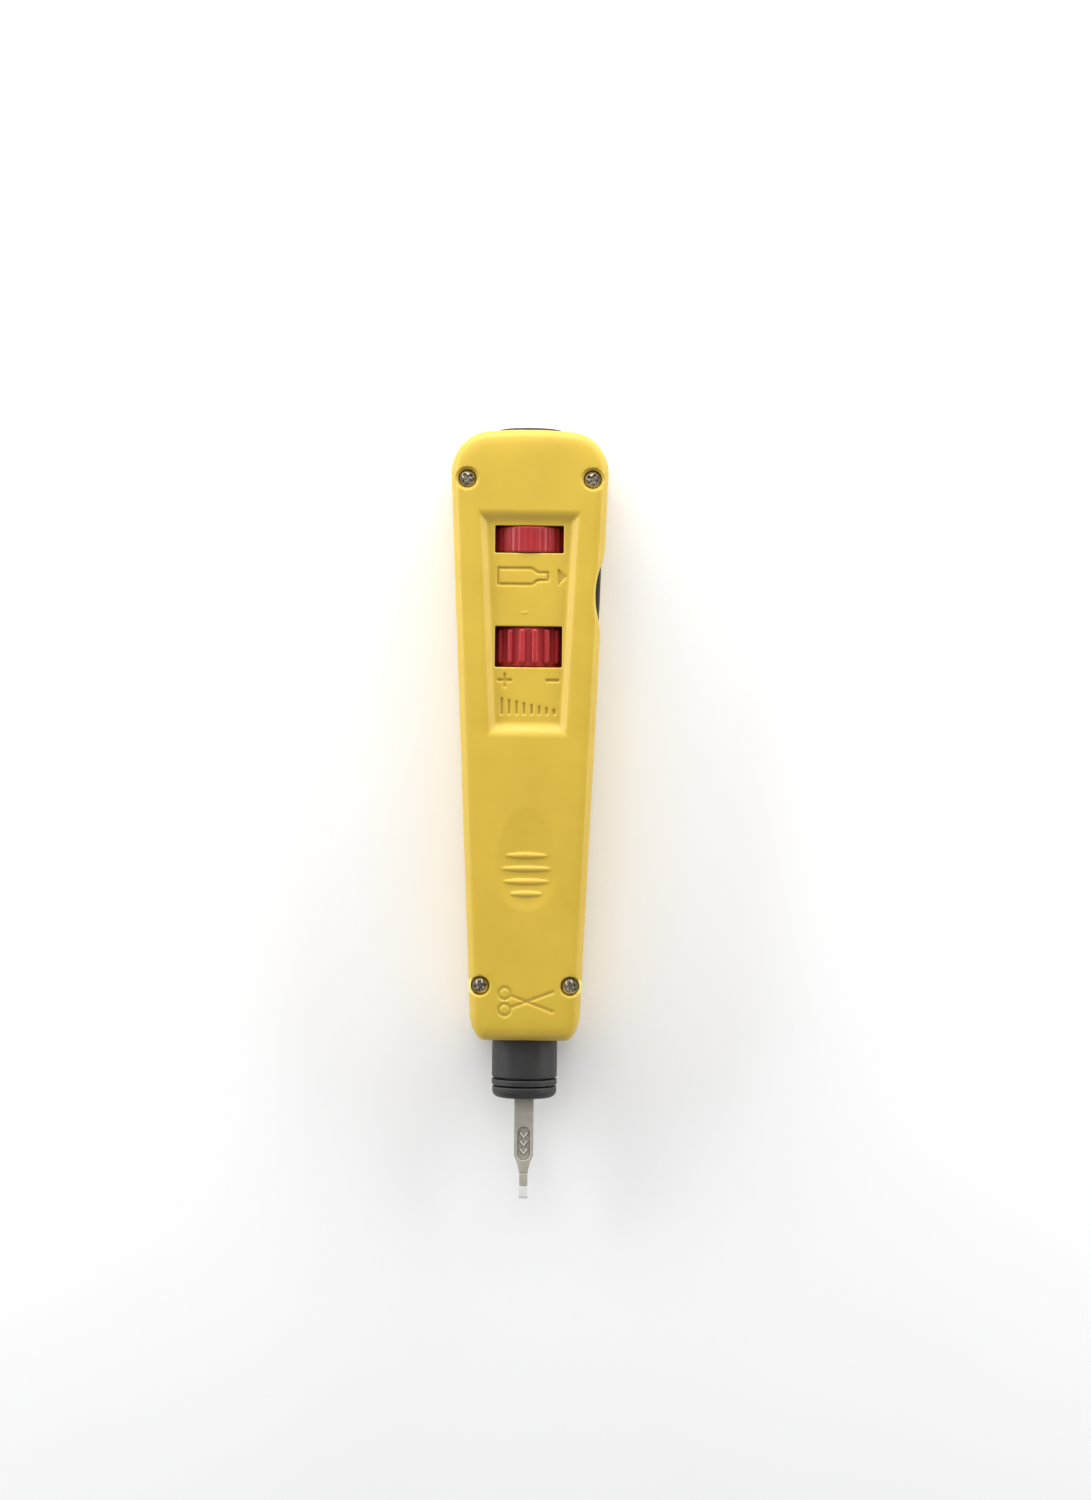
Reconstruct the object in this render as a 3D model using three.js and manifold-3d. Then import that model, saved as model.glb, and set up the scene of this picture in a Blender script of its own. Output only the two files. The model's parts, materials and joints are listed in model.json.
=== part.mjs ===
// A 110-type impact punch down tool lying on its back.
// Millimetres, +Z up out of the front face, +Y towards the butt, the blade tip at the -Y end.
// The origin is under the middle of the tool, on the surface it lies on.
import * as THREE from "three";
import { mergeVertices } from "three/addons/utils/BufferGeometryUtils.js";
import { ConvexGeometry } from "three/addons/geometries/ConvexGeometry.js";
import Module from "manifold-3d";

const wasm = await Module();
wasm.setup();

// ---- driving dimensions ----
const TIP_Y = -82.5; // cutting edge of the blade
const CAP_END_Y = 82.5; // outer face of the butt cap
const BUTT_Y = 82; // butt end of the shells
const NOSE_WALL_Y = -48; // nose end of the shells
const THICK = 20; // shells together, front to back
const AXIS_Z = THICK / 2; // height of the mechanism's axis
const HALF_WIDTH_AT_0 = 13.6; // half width of the body at Y = 0
const TAPER = 0.0435; // half width gained per millimetre of Y
const WALL = 2; // shell wall
const SPLIT = 0.15; // each shell stops this far from the parting plane
const GAP = 0.3; // clearance between neighbouring pieces
const EDGE_R = 3; // rounding of the long outer edges
const BEYOND = 100; // reaches past the tool on every side
const SIDES = 20; // flat sides of the larger round pieces
const SMALL_SIDES = 12; // and of the smaller ones

const BUTT_CORNER = { across: 8.4, along: 9.5 };
const NOSE_CORNER = { across: 3.4, along: 6.6 };
const BUTT_ARCH = 0.4; // rise of the butt edge towards its middle

const NOSE_R = 7; // black nose of the blade holder
const NOSE_END_Y = -60.7;
const NOSE_FACE_Y = -56.4; // where the holder ends and the lock ring and nose cap follow
const HOLDER_FLANGE = { r: 8.1, flat: 7.15, y0: -45.2, y1: -43 };
const HOLDER_REAR = { r: 6, y: -28 };
const HOLDER_SPIGOT = { r: 5, y0: -58, y1: -56 }; // carries the lock ring
const HOLDER_BORES = [
  { r: 4.5, y0: -60, y1: -53.7 }, // for the nose cap's stem
  { r: 2.8, y0: -60, y1: -45.5 }, // for the blade's shank
  { r: 3.9, y0: -53.4, y1: -50.6 }, // where the blade's lugs turn
  { r: 3.8, y0: -49.8, y1: -48.2 }, // for the blade clip
  { r: 2.7, y0: -44.3, y1: -20 }, // for the ram
  { r: 4.6, y0: -33, y1: -20 }, // for the return spring
];
const LOCK_RING = { r: 6.9, bore: 5.3, y0: -58, y1: -56.7 };
const NOSE_CAP = { r: 6.9, faceR: 5.3, shoulderR: 6.4, y: -58.3, stemR: 4.2, stemY: -54 };
const SHANK_BORE_R = 2.8;
const KEYWAY = { half: 1, reach: 3.9 }; // lets the blade's lugs through the nose cap
const CLIP = { r: 3.5, bore: 2.8, y0: -49.5, y1: -48.5 };

const TUBE = {
  r: 6.5,
  bore: 5.8,
  y0: -9.5,
  y1: 29.9,
  floor: 1.2,
  latchSlot: { y0: -6, y1: 14, halfZ: 2.9 },
  lugSlotY: 21.5, // where the slots for the spring seat's lugs begin
};
const HAMMER = { r: 5.5, y0: -8, y1: 6, stubR: 3, stubY: 9, boreR: 1.8, boreY: 5 };
const LATCH = { x0: -7, x1: 2.3, y0: -3.9, y1: -1.9, halfZ: 2.5, holeX: -1.2, holeR: 1.8 };
const LATCH_SLOT = { x: 5, clearY: 0.2, halfZ: 2.8 }; // x is the blind end of the slot in the hammer
const CAM = { x0: -11.4, x1: -5.9, rampX: -8.6, y0: 7.4, rampY: 10.1, y1: 13.3, halfZ: 2.2 };
const CAM_SEAT = { x0: -11.7, x1: -7.4, y0: 8, y1: 13, aboveAxis: 2.5 };
const RAM = { r: 2.4, y0: -44, y1: -13, stubR: 1.5, stubY: -4.3 };
const PIN = { y: -38, r: 0.8, holeR: 1.1, half: 5.6 };
const SEAT = { r: 5.5, y0: 24.5, y1: 28, lugR: 6.2, lugHalf: 1 };
const ADJUSTER = { r: 2, y0: 20, y1: 41.6 };
const MAIN_SPRING = { r: 4.5, wire: 1.3, turns: 5 };
const RETURN_SPRING = { r: 3.45, wire: 0.8, y0: -33, turns: 7 };
const LATCH_SPRING = { r: 0.75, wire: 0.32, turns: 3.5 };
const SPRING_END_GAP = 0.1;

const WHEEL = { r: 9, coreR: 8.2, y0: 31.7, y1: 39.7, ribs: 20, ribHalf: 0.62, rim: 0.8 };
const BULKHEAD = { y0: 40.8, y1: 42.6, hole: 2.3 };
const WASHER = { r: 5, y0: 40, y1: 40.5 };
const WHEEL_CLICK = { y0: 33.5, y1: 37.9, wallX: -11.8 };
const DRUM = { r: 7, bandR: 9, bandCoreR: 8.75, bandY0: 56, bandY1: 61.2, y0: 43, y1: 78.1, flutes: 20 };
const BAY = { x: 3.4, r: 3, y0: 45 }; // blade bays bored in the drum
const DRUM_CLICK = { y0: 56.6, y1: 60.6, wallX: -12.4 };
const CAP = { r: 6.9, flangeR: 7.7, flangeY0: 78.4, y0: 79.7 };

const UPPER_WINDOW = { half: 7.3, y0: 55.7, y1: 61.5 };
const LOWER_WINDOW = { half: 7.15, y0: 31.4, y1: 40.1 };
const PANEL = {
  depth: 1.5,
  outer: { topY: 64.3, topHalf: 10.8, bottomY: 17.1, bottomHalf: 8.4 },
  inner: { topY: 62.4, topHalf: 9, bottomY: 19.4, bottomHalf: 6.9 },
  skin: 1.2,
};

const BUTT_SCREW = { x: 13.3, y: 71.4, pocketR: 2.4 };
const NOSE_SCREW = { x: 9.55, y: -36.3, pocketR: 2.15 };
const SCREW = { headR: 1.85, headZ: 17.6, headTop: 18.8, shankR: 0.8, tipZ: 2.8 };
const RECESS = { half: 0.28, reach: 1.05, depth: 0.8 }; // cross recess of a screw
const BOSS = { r: 2.1, pivotR: 1.8, holeR: 1.1 };

const SIDE_SLOT = { x: 10.55, z0: 7, z1: 13, y0: 29, rib: 1.2, shelf: 1.5 };
const EYE = { r: 3.1, hole: 2.1 };
const BLADE_BAR = { half: 2.1, halfZ: 1.3, rearY: -58, y: -73.6, neckY: -77.2, neckHalf: 0.92 };
const CUTTER_Y = -79.9; // where the ground tip takes over
const SHANK = { r: 2.45, y0: -59.5, y1: -46 };
const LUGS = { reach: 3.6, y0: -52.6, y1: -51.4, halfZ: 0.8 };
const STAMP = { r: 1.35, near: -68.35, far: -72.95, depth: 0.3 };
const CUTTER = { halfZ: 1.2, spare: 0.04, pusherY: 1.5, edge: 0.85, edgeFlat: 0.6, trimZ: -0.4, trimY: 0.9 };

const THUMB = { y: -8.4, halfX: 6.2, halfY: 13.8, depth: 1 };
const THUMB_RIDGES = [
  { y: -8.4, width: 9.1 },
  { y: -11.1, width: 10.8 },
  { y: -13.9, width: 9.9 },
  { y: -16.5, width: 6.9 },
];
const RIDGE = { halfY: 0.65, height: 0.75 };
const NOTCH = { y: 46.75, depth: 1.5, r: 18.3 };

// Ribs across the inside of each shell, each with a round seat of radius r.
const RIBS = [
  { y0: -31.5, y1: -29.5, r: HOLDER_REAR.r + GAP },
  { y0: -11.6, y1: TUBE.y0 - GAP, r: 4.4 },
  { y0: -8, y1: -6.5, r: TUBE.r + GAP },
  { y0: 15.5, y1: 17, r: TUBE.r + GAP },
  { y0: TUBE.y1 + GAP, y1: 31.2, r: 5.2 },
  { y0: BULKHEAD.y0, y1: BULKHEAD.y1, r: BULKHEAD.hole },
  { y0: 49, y1: 50.5, r: DRUM.r + GAP },
  { y0: 68, y1: 69.5, r: DRUM.r + GAP },
];
const FLANGE_ROOM = { half: 7.6, y1: -33 }; // room in the shells for the holder's flange and its stroke

const halfWidth = (y) => HALF_WIDTH_AT_0 + TAPER * y;

// ---- solids ----
function solid(geometry) {
  const bare = geometry.index ? geometry.toNonIndexed() : geometry.clone();
  bare.deleteAttribute("normal");
  if (bare.getAttribute("uv")) bare.deleteAttribute("uv");
  const merged = mergeVertices(bare, 1e-4);
  const triVerts = new Uint32Array(merged.index.array);
  const vertProperties = merged.getAttribute("position").array;
  const made = new wasm.Manifold(new wasm.Mesh({ numProp: 3, vertProperties, triVerts }));
  if (made.volume() >= 0) return made;
  for (let i = 0; i < triVerts.length; i += 3) {
    [triVerts[i + 1], triVerts[i + 2]] = [triVerts[i + 2], triVerts[i + 1]];
  }
  return new wasm.Manifold(new wasm.Mesh({ numProp: 3, vertProperties, triVerts }));
}

const join = (...parts) => parts.flat().reduce((a, b) => a.add(b));
const cut = (from, ...parts) => parts.flat().reduce((a, b) => a.subtract(b), from);

function box(x0, x1, y0, y1, z0, z1) {
  const block = new THREE.BoxGeometry(x1 - x0, y1 - y0, z1 - z0);
  block.translate((x0 + x1) / 2, (y0 + y1) / 2, (z0 + z1) / 2);
  return solid(block);
}

// A rod parallel to Y, centred on (x, z).
function rodY(r, y0, y1, { x = 0, z = AXIS_Z, sides = SIDES } = {}) {
  const rod = new THREE.CylinderGeometry(r, r, y1 - y0, sides);
  rod.translate(x, (y0 + y1) / 2, z);
  return solid(rod);
}

// A rod parallel to Z, centred on (x, y).
function rodZ(r, z0, z1, x, y, sides = SMALL_SIDES) {
  const rod = new THREE.CylinderGeometry(r, r, z1 - z0, sides);
  rod.rotateX(Math.PI / 2);
  rod.translate(x, y, (z0 + z1) / 2);
  return solid(rod);
}

// A rod parallel to X on the mechanism's axis, at height Y = y.
function rodX(r, x0, x1, y, sides = SMALL_SIDES) {
  const rod = new THREE.CylinderGeometry(r, r, x1 - x0, sides);
  rod.rotateZ(Math.PI / 2);
  rod.translate((x0 + x1) / 2, y, AXIS_Z);
  return solid(rod);
}

// A turned piece about the mechanism's axis: points are [radius, y], from axis to axis.
function turned(points, sides = SIDES) {
  const profile = points.map(([r, y]) => new THREE.Vector2(r, y));
  const lathe = new THREE.LatheGeometry(profile, sides);
  lathe.translate(0, 0, AXIS_Z);
  return solid(lathe);
}

// The same outline as straight steps, without the repeated points where two curves meet.
function stepped(shape, segments = 8) {
  const steps = (path) => {
    const kept = [];
    for (const p of path.getPoints(segments)) {
      if (!kept.length || kept[kept.length - 1].distanceTo(p) > 1e-3) kept.push(p);
    }
    if (kept[0].distanceTo(kept[kept.length - 1]) < 1e-3) kept.pop();
    return kept;
  };
  const plain = new THREE.Shape(steps(shape));
  plain.holes = shape.holes.map((hole) => new THREE.Path(steps(hole)));
  return plain;
}

// A flat outline in X and Y, raised from z0 to z1.
function raised(shape, z0, z1, segments) {
  const outline = stepped(shape, segments);
  const plate = new THREE.ExtrudeGeometry(outline, { depth: z1 - z0, bevelEnabled: false });
  plate.translate(0, 0, z0);
  return solid(plate);
}

// An outline in X and Z, about the mechanism's axis, stretched from y0 to y1.
function stretched(shape, y0, y1, segments) {
  const outline = stepped(shape, segments);
  const bar = new THREE.ExtrudeGeometry(outline, { depth: y1 - y0, bevelEnabled: false });
  bar.rotateX(Math.PI / 2);
  bar.scale(1, 1, -1);
  bar.translate(0, y1, AXIS_Z);
  return solid(bar);
}

// ---- the body's outline ----
// Straight tapering sides, elliptical corners and a slightly arched butt, drawn smaller by inset.
function bodyOutline(inset) {
  const butt = BUTT_Y - inset;
  const nose = NOSE_WALL_Y + inset;
  const b = { across: BUTT_CORNER.across - inset, along: BUTT_CORNER.along - inset };
  const n = { across: NOSE_CORNER.across - inset, along: NOSE_CORNER.along - inset };
  const buttHalf = halfWidth(butt - b.along) - inset;
  const noseHalf = halfWidth(nose + n.along) - inset;
  const shape = new THREE.Shape();
  shape.moveTo(noseHalf, nose + n.along);
  shape.lineTo(buttHalf, butt - b.along);
  const cornerX = buttHalf - b.across;
  const rise = b.along - BUTT_ARCH;
  shape.absellipse(cornerX, butt - b.along, b.across, rise, 0, Math.PI / 2);
  shape.quadraticCurveTo(0, butt + BUTT_ARCH, -cornerX, butt - BUTT_ARCH);
  shape.absellipse(-cornerX, butt - b.along, b.across, rise, Math.PI / 2, Math.PI);
  shape.lineTo(-noseHalf, nose + n.along);
  shape.absellipse(-(noseHalf - n.across), nose + n.along, n.across, n.along, Math.PI, 1.5 * Math.PI);
  shape.lineTo(noseHalf - n.across, nose);
  shape.absellipse(noseHalf - n.across, nose + n.along, n.across, n.along, 1.5 * Math.PI, 2 * Math.PI);
  return shape;
}

// The whole body before it is hollowed and split. It bulges outwards everywhere,
// so it is the hull of its outline at the steps of the rounded edges.
function bodyBlank() {
  const points = [];
  const steps = 3;
  for (let i = 0; i <= steps; i++) {
    const angle = ((Math.PI / 2) * i) / steps;
    const inset = EDGE_R * (1 - Math.cos(angle));
    const rise = EDGE_R * (1 - Math.sin(angle));
    for (const p of stepped(bodyOutline(inset), 5).getPoints()) {
      points.push(new THREE.Vector3(p.x, p.y, rise), new THREE.Vector3(p.x, p.y, THICK - rise));
    }
  }
  return solid(new ConvexGeometry(points));
}

// ---- shells ----
// Everything below is drawn for the front shell, above the parting plane.
// The rear shell is the same drawing mirrored, with other screw holes.
function panelRecess() {
  const corners = [];
  const rim = (edge, z) => {
    for (const side of [-1, 1]) {
      corners.push(new THREE.Vector3(side * edge.topHalf, edge.topY, z));
      corners.push(new THREE.Vector3(side * edge.bottomHalf, edge.bottomY, z));
    }
  };
  rim(PANEL.inner, THICK - PANEL.depth);
  rim(PANEL.outer, THICK);
  rim(PANEL.outer, THICK + 1);
  return solid(new ConvexGeometry(corners));
}

function panelBacking() {
  const spare = 1;
  const { topY, topHalf, bottomY, bottomHalf } = PANEL.outer;
  const pad = new THREE.Shape();
  pad.moveTo(-bottomHalf - spare, bottomY - spare);
  pad.lineTo(bottomHalf + spare, bottomY - spare);
  pad.lineTo(topHalf + spare, topY + spare);
  pad.lineTo(-topHalf - spare, topY + spare);
  return raised(pad, THICK - PANEL.depth - PANEL.skin, THICK - WALL + 0.1);
}

function windowCut({ half, y0, y1 }) {
  return box(-half, half, y0, y1, AXIS_Z, THICK + 1);
}

function rib({ y0, y1, r }) {
  const reach = BUTT_CORNER.across + HALF_WIDTH_AT_0;
  const plate = box(-reach, reach, y0, y1, AXIS_Z + SPLIT, THICK - WALL + 0.1);
  return cut(plate, rodY(r, y0 - 1, y1 + 1));
}

function thumbDish() {
  const dish = new THREE.SphereGeometry(1, 16, 8);
  dish.scale(THUMB.halfX, THUMB.halfY, THUMB.depth);
  dish.translate(0, THUMB.y, THICK);
  return solid(dish);
}

function thumbRidge({ y, width }) {
  const depthHere = THUMB.depth * Math.sqrt(1 - ((y - THUMB.y) / THUMB.halfY) ** 2);
  const ridge = new THREE.SphereGeometry(1, 8, 6);
  ridge.scale(width / 2, RIDGE.halfY, RIDGE.height);
  ridge.translate(0, y, THICK - depthHere);
  return solid(ridge);
}

// A shallow scoop in the right edge for a fingertip that lifts the folding tools.
function fingerNotch() {
  const sides = 96;
  return rodZ(NOTCH.r, -1, THICK + 1, halfWidth(NOTCH.y) + NOTCH.r - NOTCH.depth, NOTCH.y, sides);
}

function shell(isFront) {
  const top = THICK + 2;
  const under = AXIS_Z + SPLIT;
  const roof = THICK - WALL + 0.1;
  const outer = bodyBlank().intersect(box(-BEYOND, BEYOND, -BEYOND, BEYOND, under, top));
  const cavity = raised(bodyOutline(WALL), 0, THICK - WALL, 4);
  const slotWall = [SIDE_SLOT.x - SIDE_SLOT.rib, BEYOND, SIDE_SLOT.y0 - SIDE_SLOT.shelf, BUTT_Y];
  const fills = [
    box(-BEYOND, BEYOND, NOSE_WALL_Y, HOLDER_FLANGE.y0 - GAP, under, top),
    box(...slotWall, under, SIDE_SLOT.z1 + SIDE_SLOT.shelf),
    panelBacking(),
    ...RIBS.map(rib),
    box(CAM_SEAT.x0, CAM_SEAT.x1, CAM_SEAT.y0, CAM_SEAT.y1, AXIS_Z + CAM_SEAT.aboveAxis, roof),
  ];
  for (const side of [-1, 1]) {
    fills.push(rodZ(BOSS.r, under, THICK - 1, side * NOSE_SCREW.x, NOSE_SCREW.y));
  }
  fills.push(rodZ(BOSS.r, under, THICK - 1, -BUTT_SCREW.x, BUTT_SCREW.y));

  const inside = join(fills).intersect(outer);
  const flangeRoom = rodY(HOLDER_FLANGE.r + GAP, HOLDER_FLANGE.y0 - GAP, FLANGE_ROOM.y1);
  const cuts = [
    rodY(NOSE_R + GAP, NOSE_WALL_Y - 1, HOLDER_FLANGE.y0),
    flangeRoom.intersect(box(-FLANGE_ROOM.half, FLANGE_ROOM.half, -BEYOND, BEYOND, 0, THICK)),
    rodY(CAP.r + GAP, CAP.flangeY0, BUTT_Y + 1),
    rodY(CAP.flangeR + GAP, CAP.flangeY0 - GAP, CAP.y0 + GAP),
    box(SIDE_SLOT.x, BEYOND, SIDE_SLOT.y0, BUTT_Y + 1, 0, SIDE_SLOT.z1),
    rodZ(EYE.r + GAP, 0, SIDE_SLOT.z1, BUTT_SCREW.x, BUTT_SCREW.y),
    fingerNotch(),
    panelRecess(),
    windowCut(UPPER_WINDOW),
    windowCut(LOWER_WINDOW),
  ];
  if (isFront) cuts.push(thumbDish());
  let made = join(cut(outer, cavity), inside);
  made = cut(made, cuts);
  made = join(made, rodZ(BOSS.pivotR, under, SIDE_SLOT.z1 + 0.1, BUTT_SCREW.x, BUTT_SCREW.y));
  if (isFront) made = join(made, THUMB_RIDGES.map(thumbRidge));

  const holes = [];
  for (const screw of [BUTT_SCREW, NOSE_SCREW]) {
    for (const side of [-1, 1]) {
      const x = side * screw.x;
      holes.push(rodZ(BOSS.holeR, 0, isFront ? top : THICK - WALL, x, screw.y));
      if (isFront) holes.push(rodZ(screw.pocketR, SCREW.headZ - GAP, top, x, screw.y));
    }
  }
  made = cut(made, holes);
  return isFront ? made : made.mirror([0, 0, 1]).translate([0, 0, THICK]);
}

// ---- fasteners ----
function screw(x, y) {
  const { headR, headZ, headTop, shankR, tipZ } = SCREW;
  const profile = [
    [0, tipZ],
    [shankR, tipZ + 1],
    [shankR, headZ],
    [headR, headZ],
    [headR, headZ + 0.7],
    [headR * 0.7, headTop],
    [0, headTop],
  ];
  const lathe = new THREE.LatheGeometry(profile.map(([r, z]) => new THREE.Vector2(r, z)), SMALL_SIDES);
  lathe.rotateX(Math.PI / 2);
  lathe.translate(x, y, 0);
  const { half, reach, depth } = RECESS;
  const cross = [
    box(x - reach, x + reach, y - half, y + half, headTop - depth, headTop + 1),
    box(x - half, x + half, y - reach, y + reach, headTop - depth, headTop + 1),
  ];
  return cut(solid(lathe), cross);
}

// ---- plunger ----
function bladeHolder() {
  const outside = turned([
    [0, NOSE_FACE_Y],
    [NOSE_R, NOSE_FACE_Y],
    [NOSE_R, HOLDER_FLANGE.y0],
    [HOLDER_FLANGE.r, HOLDER_FLANGE.y0],
    [HOLDER_FLANGE.r, HOLDER_FLANGE.y1],
    [HOLDER_REAR.r, HOLDER_FLANGE.y1],
    [HOLDER_REAR.r, HOLDER_REAR.y],
    [0, HOLDER_REAR.y],
  ]);
  const spigot = rodY(HOLDER_SPIGOT.r, HOLDER_SPIGOT.y0, HOLDER_SPIGOT.y1);
  const { flat, y0, y1 } = HOLDER_FLANGE;
  const beside = box(flat, BEYOND, y0 - 1, y1 + 1, 0, THICK);
  const bores = HOLDER_BORES.map((bore) => rodY(bore.r, bore.y0, bore.y1));
  return cut(join(outside, spigot), beside, beside.mirror([1, 0, 0]), bores, pinHole());
}

function pinHole() {
  return rodX(PIN.holeR, -BEYOND, BEYOND, PIN.y);
}

function lockRing() {
  const { r, bore, y0, y1 } = LOCK_RING;
  return cut(rodY(r, y0, y1), rodY(bore, y0 - 1, y1 + 1));
}

function noseCap() {
  const front = turned([
    [0, NOSE_END_Y],
    [NOSE_CAP.faceR, NOSE_END_Y],
    [NOSE_CAP.shoulderR, NOSE_END_Y + 0.45],
    [NOSE_CAP.r, NOSE_END_Y + 1.4],
    [NOSE_CAP.r, NOSE_CAP.y],
    [NOSE_CAP.stemR, NOSE_CAP.y],
    [NOSE_CAP.stemR, NOSE_CAP.stemY],
    [0, NOSE_CAP.stemY],
  ]);
  const { half, reach } = KEYWAY;
  const [y0, y1] = [NOSE_END_Y - 1, NOSE_CAP.stemY + 1];
  return cut(front, rodY(SHANK_BORE_R, y0, y1), box(-half, half, y0, y1, AXIS_Z - reach, AXIS_Z + reach));
}

function bladeClip() {
  const { r, bore, y0, y1 } = CLIP;
  const ring = cut(rodY(r, y0, y1), rodY(bore, y0 - 1, y1 + 1));
  return cut(ring, box(-1, 1, y0 - 1, y1 + 1, AXIS_Z, AXIS_Z + r + 1));
}

function ram() {
  const rod = turned([
    [0, RAM.y0],
    [RAM.r, RAM.y0],
    [RAM.r, RAM.y1],
    [RAM.stubR, RAM.y1],
    [RAM.stubR, RAM.stubY],
    [0, RAM.stubY],
  ]);
  return cut(rod, pinHole());
}

// ---- hammer and latch ----
function hammer() {
  const outside = turned([
    [0, HAMMER.y0],
    [HAMMER.r, HAMMER.y0],
    [HAMMER.r, HAMMER.y1],
    [HAMMER.stubR, HAMMER.y1],
    [HAMMER.stubR, HAMMER.stubY],
    [0, HAMMER.stubY],
  ]);
  const { x, clearY, halfZ } = LATCH_SLOT;
  const slot = box(-BEYOND, x, LATCH.y0 - clearY, LATCH.y1 + clearY, AXIS_Z - halfZ, AXIS_Z + halfZ);
  return cut(outside, slot, rodY(HAMMER.boreR, HAMMER.y0 - 1, HAMMER.boreY, { sides: SMALL_SIDES }));
}

function latch() {
  const { x0, x1, y0, y1, halfZ, holeX, holeR } = LATCH;
  const plate = box(x0, x1, y0, y1, AXIS_Z - halfZ, AXIS_Z + halfZ);
  return cut(plate, rodY(holeR, y0 - 1, y1 + 1, { x: holeX, sides: SMALL_SIDES }));
}

function guideTube() {
  const ramHole = RAM.r + GAP;
  const wall = cut(
    rodY(TUBE.r, TUBE.y0, TUBE.y1),
    rodY(TUBE.bore, TUBE.y0 + TUBE.floor, TUBE.y1 + 1),
    rodY(ramHole, TUBE.y0 - 1, TUBE.y1),
  );
  const { y0, y1, halfZ } = TUBE.latchSlot;
  const latchSlot = box(-BEYOND, 0, y0, y1, AXIS_Z - halfZ, AXIS_Z + halfZ);
  const half = SEAT.lugHalf + GAP;
  const lugSlots = box(-BEYOND, BEYOND, TUBE.lugSlotY, TUBE.y1 + 1, AXIS_Z - half, AXIS_Z + half);
  return cut(wall, latchSlot, lugSlots);
}

// The ramp that pushes the latch across at the end of the stroke.
function tripCam() {
  const ramp = new THREE.Shape();
  ramp.moveTo(CAM.x0, CAM.y0);
  ramp.lineTo(CAM.rampX, CAM.y0);
  ramp.lineTo(CAM.x1, CAM.rampY);
  ramp.lineTo(CAM.x1, CAM.y1);
  ramp.lineTo(CAM.x0, CAM.y1);
  return raised(ramp, AXIS_Z - CAM.halfZ, AXIS_Z + CAM.halfZ);
}

function springSeat() {
  const { r, y0, y1, lugR, lugHalf } = SEAT;
  const lugs = box(-lugR, lugR, y0, y1, AXIS_Z - lugHalf, AXIS_Z + lugHalf);
  return cut(join(rodY(r, y0, y1), lugs), adjusterHole(y0, y1));
}

function adjusterHole(y0, y1) {
  return rodY(ADJUSTER.r + GAP, y0 - 1, y1 + 1, { sides: SMALL_SIDES });
}

// ---- coil springs ----
class Coil extends THREE.Curve {
  constructor(r, y0, y1, turns) {
    super();
    this.r = r;
    this.y0 = y0;
    this.y1 = y1;
    this.turns = turns;
  }
  getPoint(t, target = new THREE.Vector3()) {
    const angle = 2 * Math.PI * this.turns * t;
    const y = this.y0 + (this.y1 - this.y0) * t;
    return target.set(this.r * Math.cos(angle), y, this.r * Math.sin(angle));
  }
}

// A coil of round wire about Y whose wire stays between y0 and y1.
function coilSpring({ r, wire, turns }, y0, y1, stepsPerTurn, sides) {
  const section = new THREE.Shape();
  section.absarc(0, 0, wire / 2, 0, 2 * Math.PI);
  const extrudePath = new Coil(r, y0 + wire * 0.6, y1 - wire * 0.6, turns);
  const steps = Math.round(turns * stepsPerTurn);
  return new THREE.ExtrudeGeometry(stepped(section, sides / 2), { steps, bevelEnabled: false, extrudePath });
}

function mainSpring() {
  const coil = coilSpring(MAIN_SPRING, HAMMER.y1 + SPRING_END_GAP, SEAT.y0 - SPRING_END_GAP, 11, 5);
  coil.translate(0, 0, AXIS_Z);
  return solid(coil);
}

function returnSpring() {
  const coil = coilSpring(RETURN_SPRING, RETURN_SPRING.y0, TUBE.y0, 10, 4);
  coil.translate(0, 0, AXIS_Z);
  return solid(coil);
}

function latchSpring() {
  const x0 = LATCH.x1 + SPRING_END_GAP;
  const coil = coilSpring(LATCH_SPRING, 0, LATCH_SLOT.x - SPRING_END_GAP - x0, 8, 4);
  coil.rotateZ(-Math.PI / 2);
  coil.translate(x0, (LATCH.y0 + LATCH.y1) / 2, AXIS_Z);
  return solid(coil);
}

// ---- blade ----
function bladeBody() {
  const { half, y, neckY, neckHalf, halfZ, rearY } = BLADE_BAR;
  const end = CUTTER_Y + GAP / 2;
  const bend = { x: neckHalf + 0.25, y: y - 1.6 };
  const flat = new THREE.Shape();
  flat.moveTo(-half, rearY);
  flat.lineTo(-half, y);
  flat.quadraticCurveTo(-bend.x, bend.y, -neckHalf, neckY);
  flat.lineTo(-neckHalf, end);
  flat.lineTo(neckHalf, end);
  flat.lineTo(neckHalf, neckY);
  flat.quadraticCurveTo(bend.x, bend.y, half, y);
  flat.lineTo(half, rearY);
  const bar = raised(flat, AXIS_Z - halfZ, AXIS_Z + halfZ, 5);
  const shank = rodY(SHANK.r, SHANK.y0, SHANK.y1, { sides: SMALL_SIDES });
  const lugs = box(-LUGS.reach, LUGS.reach, LUGS.y0, LUGS.y1, AXIS_Z - LUGS.halfZ, AXIS_Z + LUGS.halfZ);
  const stamp = new THREE.Shape();
  stamp.absarc(0, STAMP.near, STAMP.r, 0, Math.PI);
  stamp.absarc(0, STAMP.far, STAMP.r, Math.PI, 2 * Math.PI);
  return cut(join(bar, shank, lugs), raised(stamp, AXIS_Z + halfZ - STAMP.depth, AXIS_Z + halfZ + 1));
}

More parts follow.
